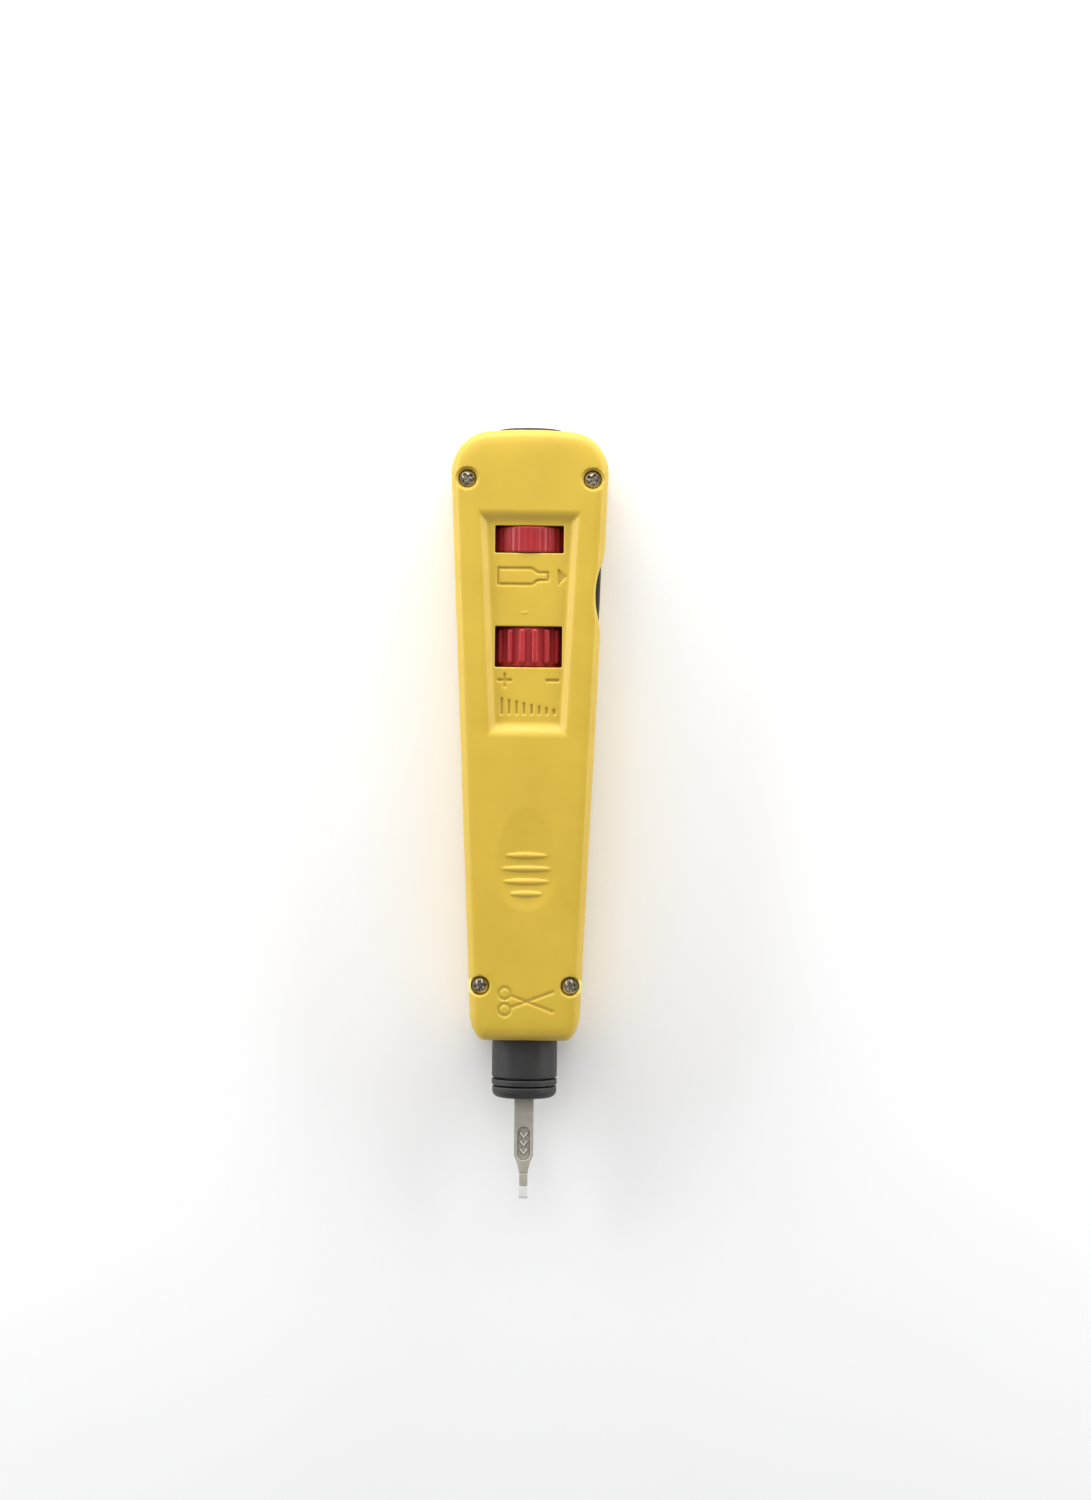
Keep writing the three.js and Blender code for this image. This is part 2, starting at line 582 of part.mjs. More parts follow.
// The ground tip: a thick side that pushes the wire home and a bevelled side that trims it.
function bladeCutter() {
  const { halfZ, pusherY, edge, edgeFlat, trimZ, trimY } = CUTTER;
  const back = CUTTER_Y - GAP / 2;
  const side = new THREE.Shape();
  side.moveTo(-halfZ, back);
  side.lineTo(halfZ, back);
  side.lineTo(halfZ, TIP_Y + pusherY);
  side.lineTo(edge, TIP_Y);
  side.lineTo(edgeFlat, TIP_Y);
  side.lineTo(trimZ, TIP_Y + trimY);
  side.lineTo(-halfZ, TIP_Y + trimY);
  const half = BLADE_BAR.neckHalf + CUTTER.spare;
  const tip = new THREE.ExtrudeGeometry(side, { depth: 2 * half, bevelEnabled: false });
  tip.translate(0, 0, -half);
  tip.rotateY(-Math.PI / 2);
  tip.translate(0, 0, AXIS_Z);
  return solid(tip);
}

// ---- wheels ----
// A ring of evenly spaced ribs, none of them at the top: each steps from the core radius to the tip radius.
function ribbedOutline({ tipR, coreR, count, ribHalf, flank }) {
  const outline = new THREE.Shape();
  for (let i = 0; i < count; i++) {
    const middle = Math.PI / 2 + (2 * Math.PI * (i + 0.5)) / count;
    const at = (r, offset) => {
      const angle = middle + offset / r;
      return [r * Math.cos(angle), r * Math.sin(angle)];
    };
    const foot = ribHalf + flank;
    const points = [at(coreR, -foot), at(tipR, -ribHalf), at(tipR, ribHalf), at(coreR, foot)];
    points.forEach(([x, y], k) => (i + k === 0 ? outline.moveTo(x, y) : outline.lineTo(x, y)));
  }
  return outline;
}

function impactWheel() {
  const { r, coreR, y0, y1, rim } = WHEEL;
  const ribs = ribbedOutline({ tipR: r, coreR, count: WHEEL.ribs, ribHalf: WHEEL.ribHalf, flank: 0.2 });
  const ribbed = stretched(ribs, y0 + rim, y1 - rim);
  const core = rodY(coreR - 0.1, y0, y1, { sides: 30 });
  return cut(join(ribbed, core), adjusterHole(y0, y1));
}

function storageDrum() {
  const { r, bandR, bandCoreR, bandY0, bandY1, y0, y1, flutes } = DRUM;
  const barrel = rodY(r, y0, y1);
  const journal = rodY(ADJUSTER.r, ADJUSTER.y1 + GAP, y0 + 1, { sides: SMALL_SIDES });
  const fluted = ribbedOutline({ tipR: bandR, coreR: bandCoreR, count: flutes, ribHalf: 0.8, flank: 0.3 });
  const band = stretched(fluted, bandY0, bandY1);
  const bays = [-1, 1].map((side) => rodY(BAY.r, BAY.y0, y1 + 1, { x: side * BAY.x }));
  return cut(join(barrel, journal, band), bays);
}

function buttCap() {
  const body = join(rodY(CAP.r, CAP.y0, CAP_END_Y), rodY(CAP.flangeR, CAP.flangeY0, CAP.y0 + 0.01));
  return cut(body, rodY(BAY.r, CAP.flangeY0 - 1, CAP_END_Y + 1, { x: BAY.x }));
}

function thrustWasher() {
  return cut(rodY(WASHER.r, WASHER.y0, WASHER.y1), adjusterHole(WASHER.y0, WASHER.y1));
}

// A bowed leaf that clicks into a wheel of radius wheelR; its tip stays clear by GAP.
function clickSpring({ y0, y1, wallX }, wheelR) {
  const [thickness, foot, knee, lean] = [0.4, 6.2, 1.2, 0.5];
  const tipX = -wheelR - GAP;
  const control = 2.5;
  const leaf = new THREE.Shape();
  leaf.moveTo(wallX, -foot);
  leaf.quadraticCurveTo(wallX + lean, -control, tipX - lean, -knee);
  leaf.lineTo(tipX, 0);
  leaf.lineTo(tipX - lean, knee);
  leaf.quadraticCurveTo(wallX + lean, control, wallX, foot);
  leaf.lineTo(wallX - thickness, foot);
  leaf.quadraticCurveTo(wallX + lean - thickness, control, tipX - lean - thickness, knee);
  leaf.lineTo(tipX - thickness, 0);
  leaf.lineTo(tipX - lean - thickness, -knee);
  leaf.quadraticCurveTo(wallX + lean - thickness, -control, wallX - thickness, -foot);
  return stretched(leaf, y0, y1, 4);
}

// ---- folding tools beside the mechanism ----
// Both share the pivot on the right butt boss and lie along the right edge.
function foldingOutline(tip) {
  const { x, y } = BUTT_SCREW;
  const neck = 2.3; // half width where the bar meets the eye
  const reach = Math.sqrt(EYE.r ** 2 - neck ** 2);
  const outline = new THREE.Shape();
  const inner = SIDE_SLOT.x + GAP;
  const edge = (atY) => halfWidth(atY) - 0.5;
  outline.moveTo(x - neck, y - reach);
  outline.lineTo(inner, y - 12);
  tip(outline, inner, edge);
  outline.lineTo(edge(y - 6), y - 6);
  outline.lineTo(x + neck, y - reach);
  const startAngle = Math.atan2(-reach, neck);
  outline.absarc(x, y, EYE.r, startAngle, Math.PI - startAngle);
  const hole = new THREE.Path();
  hole.absarc(x, y, EYE.hole, 0, 2 * Math.PI, true);
  outline.holes.push(hole);
  return outline;
}

function pick() {
  const tip = (outline, inner, edge) => {
    outline.lineTo(inner, 36);
    outline.quadraticCurveTo(inner + 0.5, 31, inner + 1.3, 29.6);
    outline.quadraticCurveTo(inner + 2.2, 29.2, edge(34), 34);
  };
  return raised(foldingOutline(tip), AXIS_Z + SPLIT, SIDE_SLOT.z1 - GAP, 7);
}

function wireHook() {
  const tip = (outline, inner, edge) => {
    outline.lineTo(inner, 31);
    outline.quadraticCurveTo(inner + 0.3, 29.5, inner + 1.6, 29.5);
    outline.quadraticCurveTo(edge(31), 29.6, edge(33), 33);
    outline.lineTo(edge(34), 34.2);
    outline.lineTo(inner + 2.1, 32.6);
    outline.quadraticCurveTo(inner + 1.1, 32.8, inner + 1.3, 34.5);
    outline.lineTo(inner + 1.6, 40);
    outline.lineTo(edge(44), 44);
  };
  return raised(foldingOutline(tip), SIDE_SLOT.z0 + GAP, AXIS_Z - SPLIT, 7);
}

// ---- finishes ----
function finish(color, roughness, metalness) {
  return new THREE.MeshStandardMaterial({ color, roughness, metalness });
}
const yellow = () => finish(0xe0bd4a, 0.5, 0);
const red = () => finish(0xa8343a, 0.45, 0);
const black = () => finish(0x2c2b2d, 0.5, 0);
const steel = () => finish(0x9c988c, 0.35, 1);
const bright = () => finish(0xdcdcd8, 0.2, 1);
const brass = () => finish(0xb5924c, 0.35, 1);

function mesh(name, made, material) {
  const { numProp, vertProperties, triVerts } = made.getMesh();
  const geometry = new THREE.BufferGeometry();
  const positions = new Float32Array((vertProperties.length / numProp) * 3);
  for (let i = 0; i < positions.length / 3; i++) {
    positions[3 * i] = vertProperties[numProp * i];
    positions[3 * i + 1] = vertProperties[numProp * i + 1];
    positions[3 * i + 2] = vertProperties[numProp * i + 2];
  }
  geometry.setAttribute("position", new THREE.BufferAttribute(positions, 3));
  geometry.setIndex(new THREE.BufferAttribute(new Uint32Array(triVerts), 1));
  geometry.computeVertexNormals();
  const piece = new THREE.Mesh(geometry, material);
  piece.name = name;
  return piece;
}

// ---- assembly ----
function group(name, ...pieces) {
  const made = new THREE.Group();
  made.name = name;
  made.add(...pieces);
  return made;
}

const housing = group(
  "housing",
  mesh("front_shell", shell(true), yellow()),
  mesh("rear_shell", shell(false), yellow()),
  mesh("screw_butt_left", screw(-BUTT_SCREW.x, BUTT_SCREW.y), steel()),
  mesh("screw_butt_right", screw(BUTT_SCREW.x, BUTT_SCREW.y), steel()),
  mesh("screw_nose_left", screw(-NOSE_SCREW.x, NOSE_SCREW.y), steel()),
  mesh("screw_nose_right", screw(NOSE_SCREW.x, NOSE_SCREW.y), steel()),
  mesh("guide_tube", guideTube(), steel()),
  mesh("trip_cam", tripCam(), steel()),
  mesh("butt_cap", buttCap(), black()),
  mesh("thrust_washer", thrustWasher(), steel()),
  mesh("wheel_click_spring", clickSpring(WHEEL_CLICK, WHEEL.r), steel()),
  mesh("drum_click_spring", clickSpring(DRUM_CLICK, DRUM.bandR), steel()),
);
const plunger = group(
  "plunger",
  mesh("blade_holder", bladeHolder(), black()),
  mesh("lock_ring", lockRing(), black()),
  mesh("nose_cap", noseCap(), black()),
  mesh("blade_clip", bladeClip(), steel()),
  mesh("ram", ram(), steel()),
  mesh("ram_pin", rodX(PIN.r, -PIN.half, PIN.half, PIN.y), steel()),
  mesh("return_spring", returnSpring(), steel()),
);
const hammerGroup = group(
  "hammer_group",
  mesh("hammer", hammer(), steel()),
  mesh("main_spring", mainSpring(), steel()),
  mesh("latch", latch(), steel()),
  mesh("latch_spring", latchSpring(), steel()),
);
const blade = group(
  "blade",
  mesh("blade_body", bladeBody(), steel()),
  mesh("blade_cutter", bladeCutter(), bright()),
);
const adjustment = group(
  "adjustment",
  mesh("impact_wheel", impactWheel(), red()),
  mesh("adjuster_screw", rodY(ADJUSTER.r, ADJUSTER.y0, ADJUSTER.y1, { sides: SMALL_SIDES }), steel()),
  mesh("spring_seat", springSeat(), brass()),
);
const storage = group("storage", mesh("storage_drum", storageDrum(), red()));
const folding = group("folding", mesh("pick", pick(), black()), mesh("wire_hook", wireHook(), steel()));

const tool = new THREE.Group();
tool.name = "punch_down_tool";
tool.add(housing, plunger, hammerGroup, blade, adjustment, storage, folding);

export default tool;
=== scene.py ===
"""Looks for the punch down tool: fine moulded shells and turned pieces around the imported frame."""

import json
import math
from functools import reduce

import bpy
import numpy as np
from mathutils import Matrix, Vector


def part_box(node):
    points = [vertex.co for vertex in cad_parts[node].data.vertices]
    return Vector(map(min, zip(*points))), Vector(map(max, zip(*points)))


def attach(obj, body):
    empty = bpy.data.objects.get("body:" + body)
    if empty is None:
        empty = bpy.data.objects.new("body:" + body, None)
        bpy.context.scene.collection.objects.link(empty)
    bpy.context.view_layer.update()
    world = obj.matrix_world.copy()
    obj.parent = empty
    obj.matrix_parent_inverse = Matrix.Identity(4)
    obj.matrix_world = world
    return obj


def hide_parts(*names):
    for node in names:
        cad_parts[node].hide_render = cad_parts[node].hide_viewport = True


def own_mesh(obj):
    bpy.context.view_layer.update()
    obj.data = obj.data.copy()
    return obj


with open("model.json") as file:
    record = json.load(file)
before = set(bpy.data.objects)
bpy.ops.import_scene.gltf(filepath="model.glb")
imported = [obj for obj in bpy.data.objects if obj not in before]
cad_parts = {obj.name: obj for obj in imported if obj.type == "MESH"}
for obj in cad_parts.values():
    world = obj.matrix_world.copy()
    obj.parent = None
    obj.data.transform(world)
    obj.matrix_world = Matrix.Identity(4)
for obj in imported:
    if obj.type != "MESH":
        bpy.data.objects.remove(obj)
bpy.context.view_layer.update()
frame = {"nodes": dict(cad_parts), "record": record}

MM = 0.001

# ---- dimensions in millimetres, in the frame's axes ----
AXIS_Z = (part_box("ram")[0].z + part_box("ram")[1].z) / 2 / MM
THICK = 20.0
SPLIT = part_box("front_shell")[0].z / MM - AXIS_Z  # the front shell's parting plane above the axis
GAP = 0.3
WALL = 2.0
EDGE_R = 3.0
HALF_WIDTH_AT_0 = 13.6
TAPER = 0.0435
BUTT_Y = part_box("front_shell")[1].y / MM
NOSE_WALL_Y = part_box("front_shell")[0].y / MM
# Corners of the outline: size across and size along.
BUTT_CORNER = (8.4, 9.5)
NOSE_CORNER = (3.4, 6.6)
ARCH = 0.4
CROWN = {"fall": 0.65, "band": 5.5}  # the broad faces fall away by this much over this band at their edges
# Bulkheads: low y, high y and radius of the round seat in each.
RIBS = (
    (-31.5, -29.5, 6.3),
    (-11.6, -9.8, 4.4),
    (-8.0, -6.5, 6.8),
    (15.5, 17.0, 6.8),
    (30.2, 31.2, 5.2),
    (40.8, 42.6, 2.3),
    (49.0, 50.5, 7.3),
    (68.0, 69.5, 7.3),
)

NOSE_R = 7.0
NOSE_END_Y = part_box("nose_cap")[0].y / MM
FLANGE = {"r": 8.1, "flat": 7.15, "y0": -45.2, "y1": -43.0}
HOLDER_REAR = {"r": 6.0, "y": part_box("blade_holder")[1].y / MM}
# Steps of the bore along the blade holder: radius, low y and high y.
HOLDER_BORES = (
    (4.5, -60, -53.7),
    (2.8, -60, -45.5),
    (3.9, -53.4, -50.6),
    (3.8, -49.8, -48.2),
    (2.7, -44.3, -20),
    (4.6, -33, -20),
)
CAP = {"r": 6.9, "flange_r": 7.7, "flange_y0": 78.4, "flange_y1": 79.7}

WHEEL_R = 9.0
DRUM_R = 7.0
# Windows: half width, low y and high y.
UPPER_WINDOW = (7.3, 55.7, 61.5)
LOWER_WINDOW = (7.15, 31.4, 40.1)
WINDOW_GAP = 0.15
PANEL_DEPTH = 1.5
PANEL_BLEND = 0.35
SIGN_DEPTH = 0.32
# Edges of the sunken panel: y and half width.
PANEL_OUTER = {"top": (64.3, 10.8), "bottom": (17.1, 8.4)}
PANEL_INNER = {"top": (62.4, 9.0), "bottom": (19.4, 6.9)}
THUMB = {"y": -12.5, "half_x": 8.0, "above": 17.0, "below": 9.5, "depth": 0.6}
# Grip ridges in the thumb dish: y and width.
THUMB_RIDGES = ((-8.6, 9.1), (-11.4, 10.8), (-14.1, 9.9), (-16.7, 6.9))
# Screws: x, y and radius of the pocket's mouth.
BUTT_SCREW = (13.3, 71.4, 2.4)
NOSE_SCREW = (9.55, -36.3, 2.15)
SCREW_HEAD_Z = 17.6
SCREW_HEAD_TOP = 18.95
SCREW_HEAD_R = 1.88
SCREW_BORE_R = 1.1
BOSS_R = 2.1
PIVOT_R = 1.8
SLOT_X = 10.55
SLOT_Z = 13.0
SLOT_Y = 29.0
SLOT_RIB = 1.2
SLOT_SHELF = 1.5
NOTCH_WALL = 1.8
EYE_R = 3.1


def half_width(y):
    return HALF_WIDTH_AT_0 + TAPER * y


# ---- distance fields ----
class Grid:
    """Points a step apart between two corners, kept as three arrays that spread against each other."""

    def __init__(self, low, high, step):
        self.low = np.array(low, dtype=float)
        self.step = step
        counts = np.ceil((np.array(high) - self.low) / step).astype(int) + 1
        self.axes = [self.low[i] + step * np.arange(counts[i]) for i in range(3)]

    def coordinates(self, index=(slice(None),) * 3):
        x, y, z = (a[s].astype(np.float32) for a, s in zip(self.axes, index))
        return x[:, None, None], y[None, :, None], z[None, None, :]

    def within(self, low, high):
        return tuple(
            slice(max(int((lo - a[0]) / self.step), 0), max(int((hi - a[0]) / self.step) + 2, 0))
            for a, lo, hi in zip(self.axes, low, high)
        )


def smooth_max(a, b, k):
    return np.maximum(a, b) + np.maximum(k - np.abs(a - b), 0) ** 2 * (0.25 / k)


def smooth_min(a, b, k):
    return -smooth_max(-a, -b, k)


def rounded(a, b, r):
    """Where both distances are negative, with the edge between them rounded to radius r."""
    qa, qb = a + r, b + r
    return np.minimum(np.maximum(qa, qb), 0) + np.hypot(np.maximum(qa, 0), np.maximum(qb, 0)) - r


def slab(v, low, high):
    return np.maximum(low - v, v - high)


def block(p, low, high, r=0.0):
    x, y, z = p
    across = rounded(slab(x, low[0], high[0]), slab(y, low[1], high[1]), r)
    return rounded(across, slab(z, low[2], high[2]), r)


def rod_y(p, radius, y0, y1, r=0.0, x=0.0):
    """A rod along Y at the height of the tool's axis."""
    px, py, pz = p
    return rounded(np.hypot(px - x, pz - AXIS_Z) - radius, slab(py, y0, y1), r)


def rod_z(p, radius, z0, z1, x, y):
    px, py, pz = p
    return rounded(np.hypot(px - x, py - y) - radius, slab(pz, z0, z1), 0.0)


def around_axis(p):
    return np.hypot(p[0], p[2] - AXIS_Z)


def ellipsoid(p, centre, radii):
    parts = [(v - c) / r for v, c, r in zip(p, centre, radii)]
    k0 = np.sqrt(sum(v * v for v in parts))
    k1 = np.sqrt(sum((v / r) ** 2 for v, r in zip(parts, radii)))
    return k0 * (k0 - 1) / np.maximum(k1, 1e-4)


def polygon(points, x, y):
    """Signed distance in a plane to a closed outline of straight steps."""
    points = np.array(points)
    best = np.full(np.broadcast(x, y).shape, 1e9, dtype=np.float32)
    inside = np.zeros(best.shape, dtype=bool)
    for (ax, ay), (bx, by) in zip(points, np.roll(points, -1, axis=0)):
        ex, ey = bx - ax, by - ay
        px, py = x - ax, y - ay
        t = np.clip((px * ex + py * ey) / (ex * ex + ey * ey), 0, 1)
        best = np.minimum(best, (px - t * ex) ** 2 + (py - t * ey) ** 2)
        crosses = (ay > y) != (by > y)
        if ey:
            inside ^= crosses & (px < ex * py / ey)
    return np.where(inside, -1, 1) * np.sqrt(best)


def stroke(x, y, a, b, half):
    """A straight groove from a to b with round ends."""
    ex, ey = b[0] - a[0], b[1] - a[1]
    px, py = x - a[0], y - a[1]
    t = np.clip((px * ex + py * ey) / (ex * ex + ey * ey), 0, 1)
    return np.hypot(px - t * ex, py - t * ey) - half


def ring(x, y, centre, radius, half):
    return np.abs(np.hypot(x - centre[0], y - centre[1]) - radius) - half


class Body:
    """A solid built up in a grid: features are added or carved in the boxes that hold them."""

    def __init__(self, low, high, step, first):
        self.grid = Grid(low, high, step)
        self.field = np.array(first(self.grid.coordinates()), dtype=np.float32)

    def carve(self, shape, low, high, k=0.3):
        self._apply(lambda a, b: smooth_max(a, -b, k), shape, low, high, k)

    def add(self, shape, low, high, k=0.3):
        self._apply(lambda a, b: smooth_min(a, b, k), shape, low, high, k)

    def _apply(self, combine, shape, low, high, k):
        margin = k + 2 * self.grid.step
        index = self.grid.within([v - margin for v in low], [v + margin for v in high])
        here = self.field[index]
        if here.size:
            self.field[index] = combine(here, shape(self.grid.coordinates(index)))

    def surface(self):
        return surface_net(self.field, self.grid)

    def sample(self, points):
        """The field at any points in millimetres, blended between the eight grid points around each."""
        at = (points - self.grid.low) / self.grid.step
        limit = np.array(self.field.shape) - 2
        cell = np.clip(np.floor(at).astype(int), 0, limit)
        part = np.clip(at - cell, 0, 1)
        total = np.zeros(len(points))
        for corner in np.ndindex(2, 2, 2):
            weight = np.prod(np.where(corner, part, 1 - part), axis=1)
            total += weight * self.field[tuple((cell + corner).T)]
        return total

    def relief(self, points, normals, reach):
        """Near 0 on a flat, up to 1 on an edge that stands out and down to -1 deep in a hollow."""
        open_side = np.clip(self.sample(points + reach * normals) / reach, 0, 1)
        solid_side = np.clip(-self.sample(points - reach * normals) / reach, 0, 1)
        return open_side - solid_side


def surface_net(field, grid):
    """Vertices and quads of the zero surface: one vertex in each cell that it passes through."""
    inside = field < 0
    counts = np.zeros([n - 1 for n in field.shape], dtype=np.int8)
    corners = [(i, j, k) for i in (0, 1) for j in (0, 1) for k in (0, 1)]
    sizes = counts.shape
    for c in corners:
        counts += inside[tuple(slice(o, o + n) for o, n in zip(c, sizes))]
    mixed = (counts > 0) & (counts < 8)
    cells = np.argwhere(mixed)
    ids = np.full(counts.shape, -1, dtype=np.int32)
    ids[mixed] = np.arange(len(cells))
    values = {c: field[tuple((cells + c).T)] for c in corners}
    total = np.zeros((len(cells), 3))
    hits = np.zeros(len(cells))
    for a in corners:
        for axis in range(3):
            if a[axis]:
                continue
            b = tuple(v + (i == axis) for i, v in enumerate(a))
            fa, fb = values[a], values[b]
            crossed = (fa < 0) != (fb < 0)
            t = fa[crossed] / (fa[crossed] - fb[crossed])
            point = np.tile(np.array(a, dtype=float), (len(t), 1))
            point[:, axis] = t
            total[crossed] += point
            hits[crossed] += 1
    vertices = grid.low + grid.step * (cells + total / hits[:, None])
    quads = []
    for axis in range(3):
        u, v = (axis + 1) % 3, (axis + 2) % 3
        here = [slice(1, -1)] * 3
        there = [slice(1, -1)] * 3
        here[axis] = slice(0, -1)
        there[axis] = slice(1, None)
        changed = inside[tuple(here)] != inside[tuple(there)]
        at = np.argwhere(changed)
        at[:, u] += 1
        at[:, v] += 1
        corner_ids = []
        for du, dv in ((-1, -1), (0, -1), (0, 0), (-1, 0)):
            cell = at.copy()
            cell[:, u] += du
            cell[:, v] += dv
            corner_ids.append(ids[tuple(cell.T)])
        quad = np.stack(corner_ids, axis=1)
        turned = ~inside[tuple(at.T)]
        quad[turned] = quad[turned][:, ::-1]
        quads.append(quad)
    return vertices, np.concatenate(quads)


# ---- meshes ----
def mesh_object(name, vertices, faces):
    """An object from vertices in millimetres and an array of faces with the same number of corners."""
    mesh = bpy.data.meshes.new(name)
    mesh.vertices.add(len(vertices))
    mesh.vertices.foreach_set("co", (np.asarray(vertices) * MM).astype(np.float32).ravel())
    corners = faces.shape[1]
    mesh.loops.add(faces.size)
    mesh.loops.foreach_set("vertex_index", faces.astype(np.int32).ravel())
    mesh.polygons.add(len(faces))
    mesh.polygons.foreach_set("loop_start", np.arange(0, faces.size, corners, dtype=np.int32))
    mesh.update(calc_edges=True)
    mesh.shade_smooth()
    made = bpy.data.objects.new(name, mesh)
    bpy.context.scene.collection.objects.link(made)
    return made


MOST_TRIANGLES = 190_000
RELIEF = "relief"
# Relief at which wear and painted highlight start and are full, and at which dirt and painted shade start
# and are full.
WEAR_AND_HIGHLIGHT_FROM, WEAR_AND_HIGHLIGHT_FULL = 0.28, 0.75
DIRT_AND_SHADE_FROM, DIRT_AND_SHADE_FULL = -0.12, -0.7


def sculpt(name, body, most=MOST_TRIANGLES, reach=0.5):
    """The object of a distance-field body, thinned on its flats and shaded by its larger faces.

    Each vertex keeps how far it stands out of or sinks into its surroundings, measured over reach."""
    vertices, quads = body.surface()
    made = mesh_object(name, vertices, quads)
    if 2 * len(quads) > most:
        thin = made.modifiers.new("thin", "DECIMATE")
        thin.ratio = most / (2 * len(quads))
        depsgraph = bpy.context.evaluated_depsgraph_get()
        settled = bpy.data.meshes.new_from_object(made.evaluated_get(depsgraph))
        made.modifiers.clear()
        made.data = settled
        made.data.shade_smooth()
    store_relief(made.data, body, reach)
    shade_by_area(made)
    return made


def store_relief(mesh, body, reach):
    count = len(mesh.vertices)
    points = np.empty(3 * count, dtype=np.float32)
    normals = np.empty(3 * count, dtype=np.float32)
    mesh.vertices.foreach_get("co", points)
    mesh.vertex_normals.foreach_get("vector", normals)
    relief = body.relief(points.reshape(-1, 3) / MM, normals.reshape(-1, 3), reach)
    attribute = mesh.attributes.new(RELIEF, "FLOAT", "POINT")
    attribute.data.foreach_set("value", relief.astype(np.float32))


def shade_by_area(piece):
    weigh = piece.modifiers.new("weigh", "WEIGHTED_NORMAL")
    weigh.weight = 50


def finish_piece(piece, node, body, material):
    piece.data.materials.clear()
    piece.data.materials.append(material)
    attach(piece, body)
    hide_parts(node)


def voxel(fine):
    """The grid step in millimetres."""
    return fine


# ---- materials ----
class Nodes:
    """A short way to write a node material."""

    def __init__(self, name):
        self.material = bpy.data.materials.new(name)
        self.material.use_nodes = True
        self.tree = self.material.node_tree
        self.shader = next(n for n in self.tree.nodes if n.type == "BSDF_PRINCIPLED")
        place = self.new("ShaderNodeTexCoord")
        scale = self.new("ShaderNodeMapping")
        scale.inputs["Scale"].default_value = (1 / MM,) * 3
        self.link(place.outputs["Object"], scale.inputs["Vector"])
        self.millimetres = scale.outputs["Vector"]

    def new(self, kind, **settings):
        node = self.tree.nodes.new(kind)
        for key, value in settings.items():
            setattr(node, key, value)
        return node

    def link(self, source, target):
        self.tree.links.new(source, target)

    def noise(self, scale, detail=2.0, roughness=0.5, stretch=None):
        """Noise with about scale bumps per millimetre, longer along an axis where stretch is under 1."""
        node = self.new("ShaderNodeTexNoise")
        node.inputs["Scale"].default_value = scale
        node.inputs["Detail"].default_value = detail
        node.inputs["Roughness"].default_value = roughness
        source = self.millimetres
        if stretch:
            mapping = self.new("ShaderNodeMapping")
            mapping.inputs["Scale"].default_value = stretch
            self.link(source, mapping.inputs["Vector"])
            source = mapping.outputs["Vector"]
        self.link(source, node.inputs["Vector"])
        return node.outputs["Fac"]

    def spread(self, value, low, high, from_low=0.3, from_high=0.7):
        node = self.new("ShaderNodeMapRange")
        node.inputs["From Min"].default_value = from_low
        node.inputs["From Max"].default_value = from_high
        node.inputs["To Min"].default_value = low
        node.inputs["To Max"].default_value = high
        self.link(value, node.inputs["Value"])
        return node.outputs["Result"]

    def between(self, value, first, second):
        node = self.new("ShaderNodeMix", data_type="RGBA")
        node.inputs[6].default_value = (*first, 1)
        node.inputs[7].default_value = (*second, 1)
        self.link(value, node.inputs[0])
        return node.outputs[2]

    def blend(self, amount, first, second):
        """From the colour link first to the plain colour second."""
        node = self.new("ShaderNodeMix", data_type="RGBA")
        self.link(first, node.inputs[6])
        node.inputs[7].default_value = (*second, 1)
        self.link(amount, node.inputs[0])
        return node.outputs[2]

    def weathered_with_painted_light(self, colour, wear_and_highlight, dirt_and_shade):
        """The colour with paler edges, part wear and part painted highlight, and darker hollows, part dirt
        and part painted shade, both broken up by noise.
        """
        relief = self.new("ShaderNodeAttribute", attribute_type="GEOMETRY", attribute_name=RELIEF)
        broken = self.sum(relief.outputs["Fac"], self.spread(self.noise(1.1, 3.0), -0.06, 0.06), 1.0)
        # Edges that stand out go towards the edge colour, part wear and part painted highlight; hollows go
        # towards the hollow colour, part dirt and part painted shade.
        paler = self.blend(self.spread(broken, 0.0, 0.85, WEAR_AND_HIGHLIGHT_FROM, WEAR_AND_HIGHLIGHT_FULL), colour, wear_and_highlight)
        return self.blend(self.spread(broken, 0.0, 0.9, DIRT_AND_SHADE_FROM, DIRT_AND_SHADE_FULL), paler, dirt_and_shade)

    def sum(self, a, b, share):
        node = self.new("ShaderNodeMath", operation="MULTIPLY_ADD")
        node.inputs[1].default_value = share
        self.link(b, node.inputs[0])
        self.link(a, node.inputs[2])
        return node.outputs[0]

    def bump(self, height, depth):
        """Bump of the given depth in millimetres."""
        node = self.new("ShaderNodeBump")
        node.inputs["Strength"].default_value = 1.0
        node.inputs["Distance"].default_value = depth * MM
        self.link(height, node.inputs["Height"])
        self.link(node.outputs["Normal"], self.shader.inputs["Normal"])

    def set(self, name, value):
        self.shader.inputs[name].default_value = value


def plastic(name, dark, light, wear_and_highlight, dirt_and_shade, roughness, grain):
    """Moulded plastic: slow colour drift from flow, paler edges that are part rubbing and part painted
    highlight, darker hollows that are part dirt and part painted shade, a fine spark-eroded grain and
    uneven gloss."""
    m = Nodes(name)
    drift = m.between(m.spread(m.noise(0.09, 3.0), 0.0, 1.0), dark, light)
    m.link(m.weathered_with_painted_light(drift, wear_and_highlight, dirt_and_shade), m.shader.inputs["Base Color"])
    smudges = m.noise(0.35, 4.0)
    m.link(m.spread(smudges, roughness - 0.06, roughness + 0.08), m.shader.inputs["Roughness"])
    fine = m.noise(7.0, 2.0, 0.6)
    coarse = m.noise(1.6, 2.0)
    m.bump(m.sum(fine, coarse, 0.5), grain)
    m.set("IOR", 1.45)
    return m.material


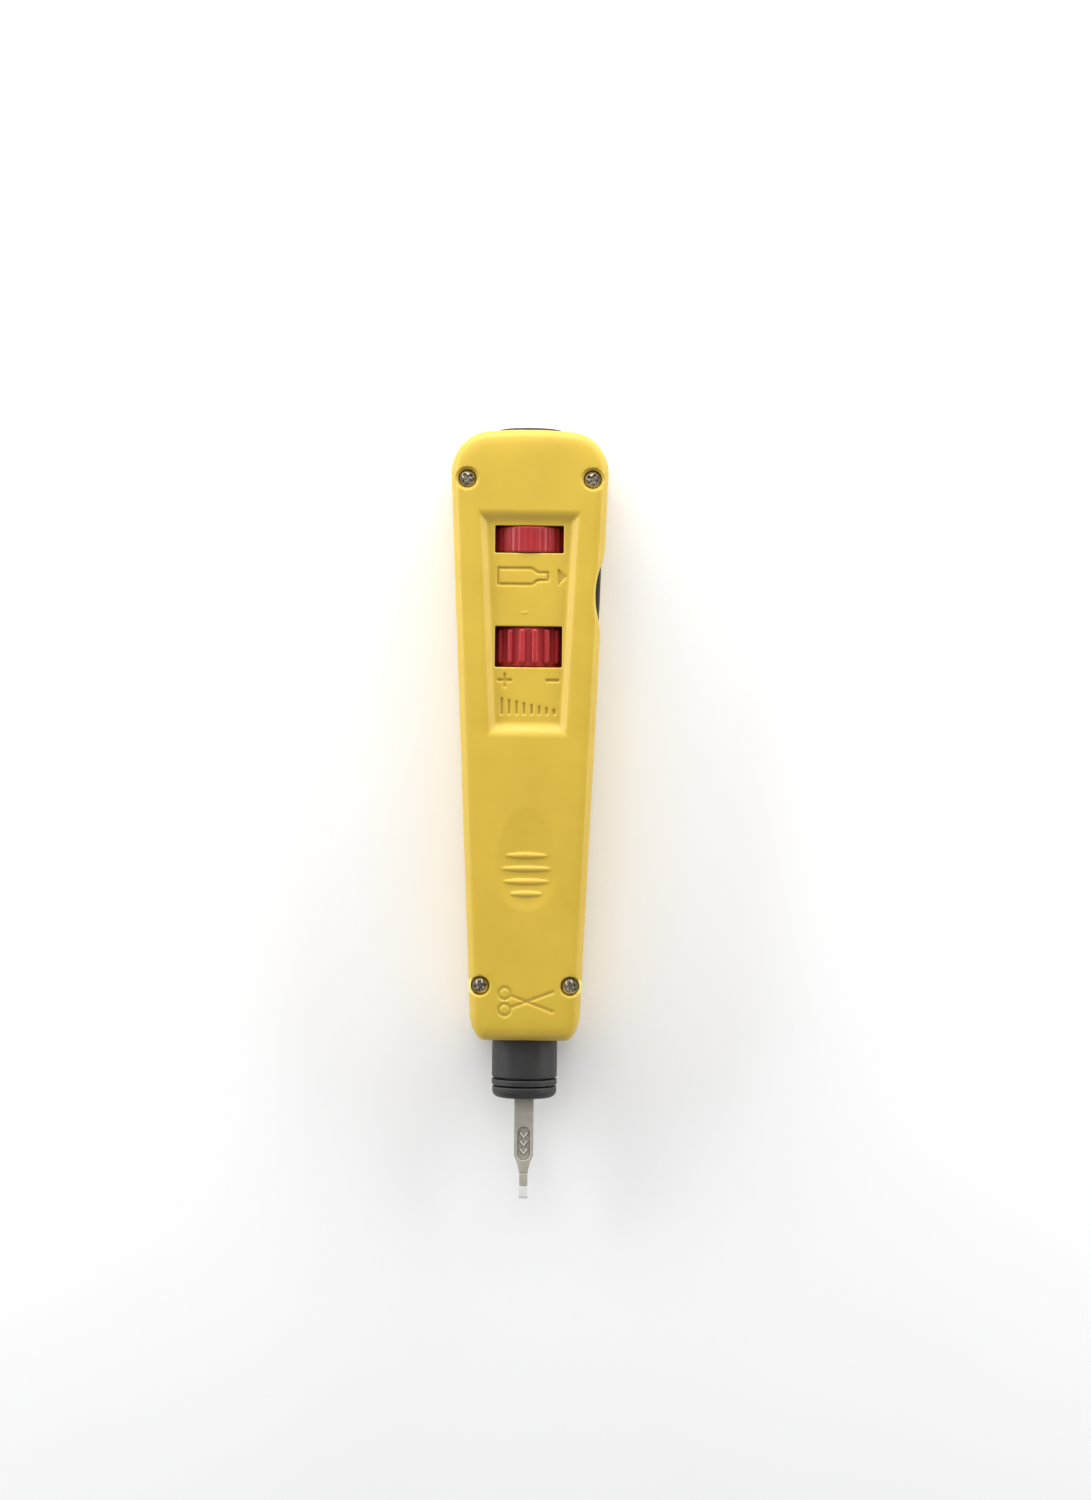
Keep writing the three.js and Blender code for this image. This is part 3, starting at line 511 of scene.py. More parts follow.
def metal(name, dark, light, wear_and_highlight, dirt_and_shade, roughness, lines, depth, metallic=1.0):
    """Worked steel: fine lines where stretch draws the noise out, bright edges that are part wear and part
    painted highlight, dirt and painted shade in the hollows, stains and uneven gloss."""
    m = Nodes(name)
    grain = m.noise(4.0, 3.0, 0.6, stretch=lines)
    stained = m.between(m.spread(m.noise(0.6, 4.0), 0.0, 1.0), dark, light)
    m.link(m.weathered_with_painted_light(stained, wear_and_highlight, dirt_and_shade), m.shader.inputs["Base Color"])
    m.link(m.spread(grain, roughness - 0.08, roughness + 0.1), m.shader.inputs["Roughness"])
    m.bump(grain, depth)
    m.set("Metallic", metallic)
    return m.material


ALONG_Y = (1.0, 0.06, 1.0)
ACROSS_X = (0.06, 1.0, 1.0)
EVEN = (1.0, 1.0, 1.0)

# In each material below, the edge colour is part wear and part painted highlight, and the hollow colour is
# part dirt and part painted shade.
YELLOW = plastic(
    "yellow_abs",
    dark=(0.55, 0.374, 0.037),
    light=(0.60, 0.412, 0.044),
    wear_and_highlight=(0.82, 0.73, 0.17),
    dirt_and_shade=(0.36, 0.22, 0.012),
    roughness=0.38,
    grain=0.010,
)
RED = plastic(
    "red_abs",
    dark=(0.33, 0.016, 0.022),
    light=(0.40, 0.022, 0.026),
    wear_and_highlight=(0.62, 0.075, 0.060),
    dirt_and_shade=(0.17, 0.008, 0.014),
    roughness=0.34,
    grain=0.006,
)
BLACK = plastic(
    "black_nylon",
    dark=(0.023, 0.022, 0.022),
    light=(0.034, 0.033, 0.033),
    wear_and_highlight=(0.13, 0.127, 0.127),
    dirt_and_shade=(0.006, 0.006, 0.006),
    roughness=0.52,
    grain=0.010,
)
ZINC = metal(
    "zinc_plated",
    dark=(0.22, 0.185, 0.135),
    light=(0.60, 0.54, 0.43),
    wear_and_highlight=(0.95, 0.92, 0.83),
    dirt_and_shade=(0.008, 0.006, 0.005),
    roughness=0.21,
    lines=EVEN,
    depth=0.006,
)
SPRING = metal(
    "spring_wire",
    dark=(0.30, 0.29, 0.27),
    light=(0.42, 0.41, 0.39),
    wear_and_highlight=(0.6, 0.6, 0.6),
    dirt_and_shade=(0.1, 0.1, 0.1),
    roughness=0.30,
    lines=ALONG_Y,
    depth=0.002,
)
BLADE = metal(
    "blade_plate",
    dark=(0.47, 0.44, 0.37),
    light=(0.57, 0.54, 0.465),
    wear_and_highlight=(0.97, 0.96, 0.92),
    dirt_and_shade=(0.050, 0.042, 0.030),
    roughness=0.50,
    lines=ALONG_Y,
    depth=0.006,
    metallic=0.6,
)
GROUND = metal(
    "ground_edge",
    dark=(0.80, 0.80, 0.79),
    light=(0.88, 0.88, 0.87),
    wear_and_highlight=(0.95, 0.95, 0.95),
    dirt_and_shade=(0.5, 0.5, 0.5),
    roughness=0.50,
    lines=ACROSS_X,
    depth=0.003,
    metallic=0.5,
)
BLACK_OXIDE = metal(
    "black_oxide",
    dark=(0.05, 0.05, 0.05),
    light=(0.09, 0.09, 0.09),
    wear_and_highlight=(0.35, 0.34, 0.33),
    dirt_and_shade=(0.02, 0.02, 0.02),
    roughness=0.36,
    lines=ALONG_Y,
    depth=0.003,
)
BRASS = metal(
    "turned_brass",
    dark=(0.55, 0.36, 0.12),
    light=(0.66, 0.46, 0.18),
    wear_and_highlight=(0.8, 0.62, 0.3),
    dirt_and_shade=(0.2, 0.12, 0.04),
    roughness=0.28,
    lines=ACROSS_X,
    depth=0.003,
)

BY_SLOT = {
    "yellow_plastic": YELLOW,
    "red_plastic": RED,
    "black_plastic": BLACK,
    "zinc_steel": ZINC,
    "spring_steel": SPRING,
    "blade_steel": BLADE,
    "ground_steel": GROUND,
    "hook_steel": BLACK_OXIDE,
    "brass": BRASS,
}


# ---- shells ----
def body_outline():
    """Straight tapering sides, elliptical corners and a slightly arched butt."""
    (butt_across, butt_along), (nose_across, nose_along) = BUTT_CORNER, NOSE_CORNER
    nose_x, nose_y = half_width(NOSE_WALL_Y + nose_along) - nose_across, NOSE_WALL_Y + nose_along
    butt_x, butt_y = half_width(BUTT_Y - butt_along) - butt_across, BUTT_Y - butt_along
    quarter = np.linspace(0, math.pi / 2, 20)
    right = [(nose_x + nose_across * math.sin(t), nose_y - nose_along * math.cos(t)) for t in quarter]
    butt_rise = butt_along - ARCH
    right += [(butt_x + butt_across * math.cos(t), butt_y + butt_rise * math.sin(t)) for t in quarter]
    right += [(x, BUTT_Y - ARCH * (x / butt_x) ** 2) for x in np.linspace(butt_x, 0, 8)[1:]]
    return right + [(-x, y) for x, y in reversed(right[:-1])]


OUTLINE = body_outline()


def panel_recess(p):
    """The sunken panel: a floor at its depth and four sloping sides."""
    x, y, z = p
    floor = THICK - PANEL_DEPTH
    (outer_top, outer_top_half), (outer_low, outer_low_half) = PANEL_OUTER["top"], PANEL_OUTER["bottom"]
    (inner_top, inner_top_half), (inner_low, inner_low_half) = PANEL_INNER["top"], PANEL_INNER["bottom"]

    def slope(inwards, rise):
        return (inwards * rise - (z - floor)) / np.hypot(rise, 1)

    inner_lean = (inner_top_half - inner_low_half) / (inner_top - inner_low)
    inner_half = inner_low_half + inner_lean * (y - inner_low)
    outer_lean = (outer_top_half - outer_low_half) / (outer_top - outer_low)
    outer_half = outer_low_half + outer_lean * (y - outer_low)
    made = floor - z
    for side in (
        slope(y - inner_top, PANEL_DEPTH / (outer_top - inner_top)),
        slope(inner_low - y, PANEL_DEPTH / (inner_low - outer_low)),
        slope(np.abs(x) - inner_half, PANEL_DEPTH / (outer_half - inner_half)),
    ):
        made = smooth_max(made, side, PANEL_BLEND)
    return made


def panel_signs(x, y):
    """A plus and a minus for the impact wheel, bars that grow towards the plus, a blade and an arrow."""
    half = 0.26
    plus_x, plus_arm, minus_x, minus_arm, sign_y = -5.0, 1.3, 5.2, 1.2, 28.6
    marks = [
        stroke(x, y, (plus_x - plus_arm, sign_y), (plus_x + plus_arm, sign_y), half),
        stroke(x, y, (plus_x, sign_y - plus_arm), (plus_x, sign_y + plus_arm), half),
        stroke(x, y, (minus_x - minus_arm, sign_y), (minus_x + minus_arm, sign_y), half),
    ]
    bars, foot_y, first_x, row, tallest, fall = 8, 21.6, -5.6, 11.2, 3.0, 2.3
    for i in range(bars):
        share = i / (bars - 1)
        at = first_x + row * share
        marks.append(stroke(x, y, (at, foot_y), (at, foot_y + tallest - fall * share), half))
    upper_edge = [(-6.6, 52.4), (0.6, 52.4), (1.9, 51.5), (4.0, 51.5)]
    middle_y = 50.7
    lower_edge = [(px, 2 * middle_y - py) for px, py in reversed(upper_edge)]
    blade = upper_edge + lower_edge
    for a, b in zip(blade, blade[1:] + blade[:1]):
        marks.append(stroke(x, y, a, b, 0.9 * half))
    marks.append(polygon([(6.2, 52.3), (8.0, 50.6), (6.2, 48.9)], x, y))
    return reduce(np.minimum, marks)


def cutting_sign(x, y):
    """A pair of open scissors over the cutting side of the blade."""
    half, middle_y = 0.27, -39.6
    loop_x, loop_rise, loop_r = -4.3, 1.75, 1.25
    handle_x, handle_rise, point_x, point_rise = -3.1, 1.3, 5.9, 2.1
    marks = []
    for side in (-1, 1):
        marks.append(ring(x, y, (loop_x, middle_y + side * loop_rise), loop_r, half))
        handle = (handle_x, middle_y + side * handle_rise)
        marks.append(stroke(x, y, handle, (point_x, middle_y - side * point_rise), half))
    return reduce(np.minimum, marks)


def dish_depth(x, y):
    """How far the thumb dish sinks into the face: deepest at its middle, fading to nothing at its rim."""
    along = y - THUMB["y"]
    reach = np.where(along > 0, THUMB["above"], THUMB["below"])
    spread = (x / THUMB["half_x"]) ** 2 + (along / reach) ** 2
    return THUMB["depth"] * np.maximum(1 - spread, 0) ** 1.5


def add_thumb_dish(body):
    """The dish, and grip ridges that follow its floor."""
    half_x, middle_y = THUMB["half_x"], THUMB["y"]
    low = (-half_x, middle_y - THUMB["below"], THICK - THUMB["depth"])
    high = (half_x, middle_y + THUMB["above"], THICK)
    body.carve(lambda p: THICK - dish_depth(p[0], p[1]) - p[2], low, high, k=0.01)
    sunk, half_y, half_z, spare = 0.08, 0.66, 0.5, 0.8
    for y, width in THUMB_RIDGES:
        ridge = lambda p, y=y, w=width: ellipsoid(
            (p[0], p[1], p[2] + dish_depth(p[0], p[1])), (0, y, THICK - sunk), (w / 2, half_y, half_z)
        )
        body.add(ridge, (-width / 2, y - spare, THICK - 1.3), (width / 2, y + spare, THICK + 0.2), k=0.12)


def finger_scoop(p):
    """The round bite for a fingertip in the right edge."""
    middle, depth, r = 46.75, 1.5, 18.3
    return np.hypot(p[0] - (half_width(middle) + r - depth), p[1] - middle) - r


def blank(p):
    """The hollow body with crowned faces, solid behind the finger scoop and around the side slot."""
    x, y, z = p
    height = np.abs(z - AXIS_Z)
    flat = polygon(OUTLINE, x, y)
    outer = rounded(flat, height - THICK / 2, EDGE_R)
    fall = CROWN["fall"] * np.clip(1 + flat / CROWN["band"], 0, 1) ** 2
    outer = smooth_max(outer, height - THICK / 2 + fall, 0.4)
    inner = rounded(flat + WALL, height - (THICK / 2 - WALL), 1.2)
    behind_scoop = np.maximum(inner, NOTCH_WALL - finger_scoop(p))
    hollow = smooth_max(outer, -behind_scoop, 0.3)
    slot_wall = np.maximum(
        rounded(SLOT_X - SLOT_RIB - x, z - SLOT_Z - SLOT_SHELF, 0.4),
        np.maximum(SLOT_Y - SLOT_SHELF - y, outer),
    )
    return np.maximum(smooth_min(hollow, slot_wall, 0.3), outer)


def add_nose_wall(body):
    """A thick end wall around the nose, set in from the outline."""
    inset, back_y, top = 1, FLANGE["y0"] - GAP, THICK - 1
    wall = lambda p: np.maximum(
        block(p, (-15, NOSE_WALL_Y + inset, AXIS_Z), (15, back_y, top)),
        polygon(OUTLINE, p[0], p[1]) + inset,
    )
    body.add(wall, (-12, NOSE_WALL_Y, AXIS_Z), (12, FLANGE["y0"], top), k=0.2)


def add_panel_backing(body):
    """The skin under the sunken panel."""
    (top_y, _), (low_y, low_half) = PANEL_OUTER["top"], PANEL_OUTER["bottom"]
    spare, lean, skin = 1.0, 0.0508, 1.2

    def backing(p):
        x, y, z = p
        half = low_half + spare + lean * (y - low_y)
        across = np.maximum(np.abs(x) - half, slab(y, low_y - spare, top_y + spare))
        return np.maximum(across, slab(z, THICK - PANEL_DEPTH - skin, THICK - 0.6))

    body.add(backing, (-12, 15, 17), (12, 66, 19.4), k=0.2)


def add_rib(body, y0, y1, hole):
    """A bulkhead across the inside with a round seat."""
    reach, top = half_width(y1) - WALL + 0.5, THICK - WALL + 0.4

    def shape(p):
        plate = block(p, (-reach, y0, AXIS_Z + SPLIT), (reach, y1, top))
        return np.maximum(plate, hole - around_axis(p))

    body.add(shape, (-reach, y0, AXIS_Z), (reach, y1, top), k=0.2)


def add_bosses(body):
    """Screw bosses at all the screws but the one that is the folding tools' pivot."""
    top = THICK - 1
    (nose_x, nose_y), (butt_x, butt_y) = NOSE_SCREW[:2], BUTT_SCREW[:2]
    for x, y in ((nose_x, nose_y), (-nose_x, nose_y), (-butt_x, butt_y)):
        boss = lambda p, x=x, y=y: rod_z(p, BOSS_R, AXIS_Z, top, x, y)
        body.add(boss, (x - BOSS_R, y - BOSS_R, AXIS_Z), (x + BOSS_R, y + BOSS_R, top), k=0.4)


def open_for_nose_and_cap(body):
    """Openings for the nose, the holder's flange and the butt cap with its flange."""
    under = AXIS_Z - 1
    nose_hole = lambda p: rod_y(p, NOSE_R + GAP, NOSE_WALL_Y - 2, -44)
    body.carve(nose_hole, (-8, NOSE_WALL_Y - 1, under), (8, -45, 18), k=0.35)
    flange_half = 7.6
    flange_room = lambda p: np.maximum(
        rod_y(p, FLANGE["r"] + GAP, FLANGE["y0"] - GAP, -33), np.abs(p[0]) - flange_half
    )
    body.carve(flange_room, (-8, -46, under), (8, -32, 19), k=0.1)
    cap_hole = lambda p: rod_y(p, CAP["r"] + GAP, 79, BUTT_Y + 2)
    body.carve(cap_hole, (-8, 79, under), (8, BUTT_Y + 1, 18), k=0.35)
    cap_room = lambda p: rod_y(p, CAP["flange_r"] + GAP, CAP["flange_y0"] - GAP, CAP["flange_y1"] + GAP)
    body.carve(cap_room, (-8, 78, under), (8, 80, 18.2), k=0.1)


def open_side_slot(body, side):
    """The slot for the folding tools, open at the right and at the butt, with room for their eyes."""
    under = AXIS_Z - 1
    x, y = BUTT_SCREW[:2]
    slot = lambda p: rounded(rounded(SLOT_X - p[0], SLOT_Y - p[1], 1.0), p[2] - SLOT_Z, 0.2)
    body.carve(slot, (SLOT_X, SLOT_Y, under), (side, BUTT_Y + 1, SLOT_Z), k=0.3)
    eye_room = lambda p: rod_z(p, EYE_R + GAP, 0, SLOT_Z, x, y)
    body.carve(eye_room, (9.5, 67, under), (17, 76, SLOT_Z), k=0.2)
    pivot = lambda p: rod_z(p, PIVOT_R, AXIS_Z, SLOT_Z + 1, x, y)
    body.add(pivot, (11, 69, under), (15.5, 74, SLOT_Z + 1), k=0.2)


def open_windows(body):
    """The sunken panel and the two wheel windows in it."""
    body.carve(panel_recess, (-11.5, 16, 18), (11.5, 66, THICK + 1), k=0.45)
    for half, y0, y1 in (UPPER_WINDOW, LOWER_WINDOW):
        hole = lambda p, h=half, a=y0, b=y1: block(p, (-h, a, AXIS_Z), (h, b, THICK + 2), 0.25)
        body.carve(hole, (-half, y0, AXIS_Z), (half, y1, THICK), k=0.14)


def engrave(body, sign, low, high, surface_z):
    """Cut a sign drawn in x and y into a face, within the box from low to high."""
    floor = surface_z - SIGN_DEPTH
    cut = lambda p: np.maximum(sign(p[0], p[1]), floor - p[2])
    body.carve(cut, (*low, floor), (*high, surface_z + 0.5), k=0.22)


def add_face_details(body):
    """What only the front shell has on its face: the thumb dish, the signs and a small raised dash."""
    panel_z = THICK - PANEL_DEPTH
    add_thumb_dish(body)
    engrave(body, panel_signs, (-8, 20), (8.5, 54), panel_z)
    engrave(body, cutting_sign, (-7, -43.5), (7.5, -35), THICK)
    dash = lambda p: ellipsoid(p, (-0.9, 43.0, panel_z), (0.8, 0.22, 0.12))
    body.add(dash, (-2, 42.5, 18), (0, 43.5, 19), k=0.1)


def screw_pocket(p, x, y, mouth):
    """A pocket with a shelf level with the screw's head, and a throat that fits round the head."""
    floor, throat = SCREW_HEAD_Z - GAP, SCREW_HEAD_R + 0.08
    wall = np.hypot(p[0] - x, p[1] - y) - np.where(p[2] > SCREW_HEAD_TOP, mouth, throat)
    return np.maximum(wall, floor - p[2])


def bore_for_screws(body, front):
    """Screw bores, through the face with a pocket for the head where the shell is the front one."""
    top = THICK + 2 if front else THICK - WALL
    spare, pocket_spare = 1.2, 2.6
    for sx, y, mouth in (BUTT_SCREW, NOSE_SCREW):
        for x in (-sx, sx):
            bore = lambda p, x=x, y=y: rod_z(p, SCREW_BORE_R, 0, top, x, y)
            body.carve(bore, (x - spare, y - spare, AXIS_Z - 1), (x + spare, y + spare, top), k=0.15)
            if front:
                sink = lambda p, x=x, y=y, r=mouth: screw_pocket(p, x, y, r)
                low = (x - pocket_spare, y - pocket_spare, 17)
                body.carve(sink, low, (x + pocket_spare, y + pocket_spare, THICK + 1), k=0.1)


def shell_body(front):
    """The shell above the parting plane. The rear shell is the same drawing, to be mirrored."""
    margin = 0.6
    side = half_width(BUTT_Y) + margin
    low = (-side, NOSE_WALL_Y - margin, AXIS_Z - margin)
    high = (side, BUTT_Y + margin, THICK + margin)
    body = Body(low, high, voxel(0.2), blank)
    add_nose_wall(body)
    add_panel_backing(body)
    for y0, y1, hole in RIBS:
        add_rib(body, y0, y1, hole)
    add_bosses(body)
    open_for_nose_and_cap(body)
    open_side_slot(body, side)
    body.carve(finger_scoop, (12, 36, AXIS_Z - 1), (side, 57, THICK + 1), k=0.8)
    open_windows(body)
    if front:
        add_face_details(body)
    bore_for_screws(body, front)
    z = body.grid.coordinates()[2]
    body.field = smooth_max(body.field, AXIS_Z + SPLIT - z, 0.25)
    return body


def make_shells():
    front = sculpt("front_shell_moulding", shell_body(True))
    finish_piece(front, "front_shell", "housing", YELLOW)
    rear = sculpt("rear_shell_moulding", shell_body(False))
    flip = Matrix.Scale(-1, 4, Vector((0, 0, 1)))
    rear.data.transform(Matrix.Translation((0, 0, THICK * MM)) @ flip)
    rear.data.flip_normals()
    finish_piece(rear, "rear_shell", "housing", YELLOW)


# ---- screws ----
def screw_body():
    """A pan-head screw with a cross recess, head up, its axis on x = y = 0."""
    top, head_r = SCREW_HEAD_TOP, SCREW_HEAD_R
    shank_r, thread, pitch, tip_z = 0.82, 0.07, 0.7, 2.9

    def turned(p):
        x, y, z = p
        r = np.hypot(x, y)
        dome_z, dome_r = SCREW_HEAD_Z + 0.1, 1.25 * head_r
        dome = ellipsoid(p, (0, 0, dome_z), (dome_r, dome_r, top - dome_z))
        head = smooth_max(rounded(r - head_r, SCREW_HEAD_Z - z, 0.12), dome, 0.25)
        crest = thread * np.cos(2 * math.pi * z / pitch + np.arctan2(y, x))
        shank = rounded(r - shank_r - crest + thread, slab(z, tip_z, SCREW_HEAD_Z + 0.3), 0.3)
        return smooth_min(head, shank, 0.2)

    body = Body((-2.2, -2.2, 2.5), (2.2, 2.2, 19.1), voxel(0.07), turned)

    depth = 0.95

    def recess(p):
        x, y, z = p
        deep = np.clip(top - z, 0, 2)  # the recess narrows as it goes down
        wing = 0.40 - 0.14 * deep
        reach = 1.36 - 0.5 * deep
        arms = np.minimum(
            np.maximum(np.abs(x) - reach, np.abs(y) - wing),
            np.maximum(np.abs(y) - reach, np.abs(x) - wing),
        )
        core = np.hypot(x, y) - (0.5 - 0.2 * deep)
        return np.maximum(np.minimum(arms, core), top - depth - z)

    body.carve(recess, (-1.5, -1.5, 17.7), (1.5, 1.5, 19.2), k=0.08)
    return body


def make_screws():
    master = sculpt("screw_master", screw_body(), 60_000, reach=0.3)
    places = {  # x, y and how far the cross is turned, in degrees
        "screw_butt_left": (-BUTT_SCREW[0], BUTT_SCREW[1], 38),
        "screw_butt_right": (BUTT_SCREW[0], BUTT_SCREW[1], 62),
        "screw_nose_left": (-NOSE_SCREW[0], NOSE_SCREW[1], 8),
        "screw_nose_right": (NOSE_SCREW[0], NOSE_SCREW[1], 14),
    }
    for node, (x, y, turn) in places.items():
        piece = bpy.data.objects.new(node + "_turned", master.data.copy())
        bpy.context.scene.collection.objects.link(piece)
        place = Matrix.Translation((x * MM, y * MM, 0)) @ Matrix.Rotation(math.radians(turn), 4, "Z")
        piece.data.transform(place)
        shade_by_area(piece)
        finish_piece(piece, node, "housing", ZINC)
    bpy.data.objects.remove(master)


# ---- nose ----
def make_nose():
    step = voxel(0.13)
    front = -56.4

    def holder(p):
        y = p[1]
        barrel = rounded(around_axis(p) - NOSE_R, slab(y, front, FLANGE["y1"]), 0.35)
        disc = rounded(around_axis(p) - FLANGE["r"], slab(y, FLANGE["y0"], FLANGE["y1"]), 0.2)
        disc = rounded(disc, np.abs(p[0]) - FLANGE["flat"], 0.15)
        barrel = np.maximum(barrel, np.where(y > FLANGE["y0"], np.abs(p[0]) - FLANGE["flat"], -9))
        rear = rounded(around_axis(p) - HOLDER_REAR["r"], slab(y, FLANGE["y1"] - 1, HOLDER_REAR["y"]), 0.3)
        spigot = rounded(around_axis(p) - 5, slab(y, -58, -55), 0.2)
        return np.minimum(smooth_min(np.minimum(barrel, disc), rear, 0.3), spigot)

    body = Body((-8.6, -58.6, AXIS_Z - 8.6), (8.6, HOLDER_REAR["y"] + 0.6, AXIS_Z + 8.6), step, holder)
    for r, y0, y1 in HOLDER_BORES:
        bore = lambda p, r=r, a=y0, b=y1: rod_y(p, r, a, b)
        body.carve(bore, (-r, y0, AXIS_Z - r), (r, y1, AXIS_Z + r), k=0.2)
    pin = lambda p: np.hypot(p[1] + 38, p[2] - AXIS_Z) - 1.1 + 0 * p[0]
    body.carve(pin, (-7, -39.2, AXIS_Z - 1.2), (7, -36.8, AXIS_Z + 1.2), k=0.15)
    finish_piece(sculpt("holder_barrel", body), "blade_holder", "plunger", BLACK)

    def lock(p):
        band = rounded(around_axis(p) - NOSE_R, slab(p[1], -58, -56.7), 0.22)
        return rounded(band, 5.3 - around_axis(p), 0.15)

    body = Body((-7.4, -58.4, AXIS_Z - 7.4), (7.4, -56.3, AXIS_Z + 7.4), voxel(0.1), lock)
    finish_piece(sculpt("lock_band", body, 90_000), "lock_ring", "plunger", BLACK)

    def cap(p):
        r = NOSE_R - 0.1
        disc = rounded(around_axis(p) - r, NOSE_END_Y - p[1], 1.5)
        disc = rounded(disc, p[1] + 58.3, 0.2)
        stem = rounded(around_axis(p) - 4.2, slab(p[1], -59, -54), 0.2)
        return smooth_min(disc, stem, 0.2)

    body = Body((-7.4, NOSE_END_Y - 0.5, AXIS_Z - 7.4), (7.4, -53.6, AXIS_Z + 7.4), voxel(0.12), cap)
    bore = lambda p: rod_y(p, 2.8, NOSE_END_Y - 2, -52)
    body.carve(bore, (-3, NOSE_END_Y - 1, AXIS_Z - 3), (3, -53, AXIS_Z + 3), k=0.35)
    keyway = lambda p: block(p, (-1, NOSE_END_Y - 2, AXIS_Z - 3.9), (1, -52, AXIS_Z + 3.9), 0.2)
    body.carve(keyway, (-1, NOSE_END_Y - 1, AXIS_Z - 4), (1, -53, AXIS_Z + 4), k=0.25)
    finish_piece(sculpt("nose_end", body, 120_000), "nose_cap", "plunger", BLACK)


# ---- blade ----
BAR_HALF = 2.1
BAR_HALF_Z = 1.3
BAR_END = -73.2
NECK_HALF = 0.92
NECK_Y = -77.0
CUTTER_Y = -79.7
TIP_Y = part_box("blade_cutter")[0].y / MM


def blade_half(y):
    """Half width of the blade: straight, then curving in to the neck."""
    t = np.clip((BAR_END - y) / (BAR_END - NECK_Y), 0, 1)
    ease = t * (1.55 - 0.55 * t)
    return BAR_HALF + (NECK_HALF - BAR_HALF) * ease


def make_blade():
    step = voxel(0.06)

    def bar(p):
        x, y, z = p
        along = slab(y, CUTTER_Y + 0.15, -58)
        flat = rounded((np.abs(x) - blade_half(y)) * 0.93, np.abs(z - AXIS_Z) - BAR_HALF_Z, 0.15)
        flat = rounded(flat, along, 0.1)
        shank = rod_y(p, 2.45, -59.5, -46, 0.4)
        lugs = block(p, (-3.6, -52.6, AXIS_Z - 0.8), (3.6, -51.4, AXIS_Z + 0.8), 0.2)
        return smooth_min(np.minimum(flat, lugs), shank, 0.3)

    body = Body((-3.9, CUTTER_Y - 0.3, AXIS_Z - 2.8), (3.9, -45.6, AXIS_Z + 2.8), step, bar)

    def stamp(p):
        """A sunken obround with three raised chevrons that point at the cutting end."""
        x, y, z = p
        floor = AXIS_Z + BAR_HALF_Z - 0.5
        pill = np.hypot(x, y - np.clip(y, -72.95, -68.35)) - 1.35
        chevrons = [
            stroke(x, y, (side * 0.7, middle + 0.45), (0, middle - 0.45), 0.2)
            for middle in (-68.9, -70.65, -72.4)
            for side in (-1, 1)
        ]
        raised = np.maximum(np.minimum.reduce(chevrons), z - (floor + 0.40))
        return np.maximum(np.maximum(pill, floor - z), -raised)

    body.carve(stamp, (-1.4, -74.5, AXIS_Z + 0.8), (1.4, -66.8, AXIS_Z + 1.6), k=0.08)
    step_line = lambda p: np.hypot(p[1] - NECK_Y, p[2] - (AXIS_Z + BAR_HALF_Z)) - 0.12 + 0 * p[0]
    body.carve(step_line, (-1.2, NECK_Y - 0.3, AXIS_Z + 1.1), (1.2, NECK_Y + 0.3, AXIS_Z + 1.6), k=0.08)
    finish_piece(sculpt("blade_bar", body, reach=0.25), "blade_body", "blade", BLADE)

    half_z, top_y = 1.2, CUTTER_Y - 0.15
    side = [
        (-half_z, top_y),
        (half_z, top_y),
        (half_z, TIP_Y + 0.5),
        (0.85, TIP_Y),
        (0.6, TIP_Y),
        (-0.4, TIP_Y + 0.9),
        (-half_z, TIP_Y + 0.9),
    ]

    def cutter(p):
        x, y, z = p
        profile = polygon(side, z - AXIS_Z, y)
        return rounded(profile, np.abs(x) - NECK_HALF - 0.04, 0.06)

    low, high = (-1.2, TIP_Y - 0.2, AXIS_Z - 1.5), (1.2, CUTTER_Y + 0.1, AXIS_Z + 1.5)
    body = Body(low, high, voxel(0.04), cutter)
    tip = sculpt("ground_tip", body, 60_000, reach=0.12)
    finish_piece(tip, "blade_cutter", "blade", GROUND)


# ---- wheels ----
def repeated(p, count):
    """Distance along the rim from the nearest of count evenly spaced places, and the radius there.

    No place is at the very top: the top lies midway between two of them."""
    x, z = p[0], p[2] - AXIS_Z
    radius = np.hypot(x, z)
    pitch = 2 * math.pi / count
    angle = np.arctan2(x, z)
    nearest = pitch * (np.floor(angle / pitch) + 0.5)
    return radius * (angle - nearest), radius


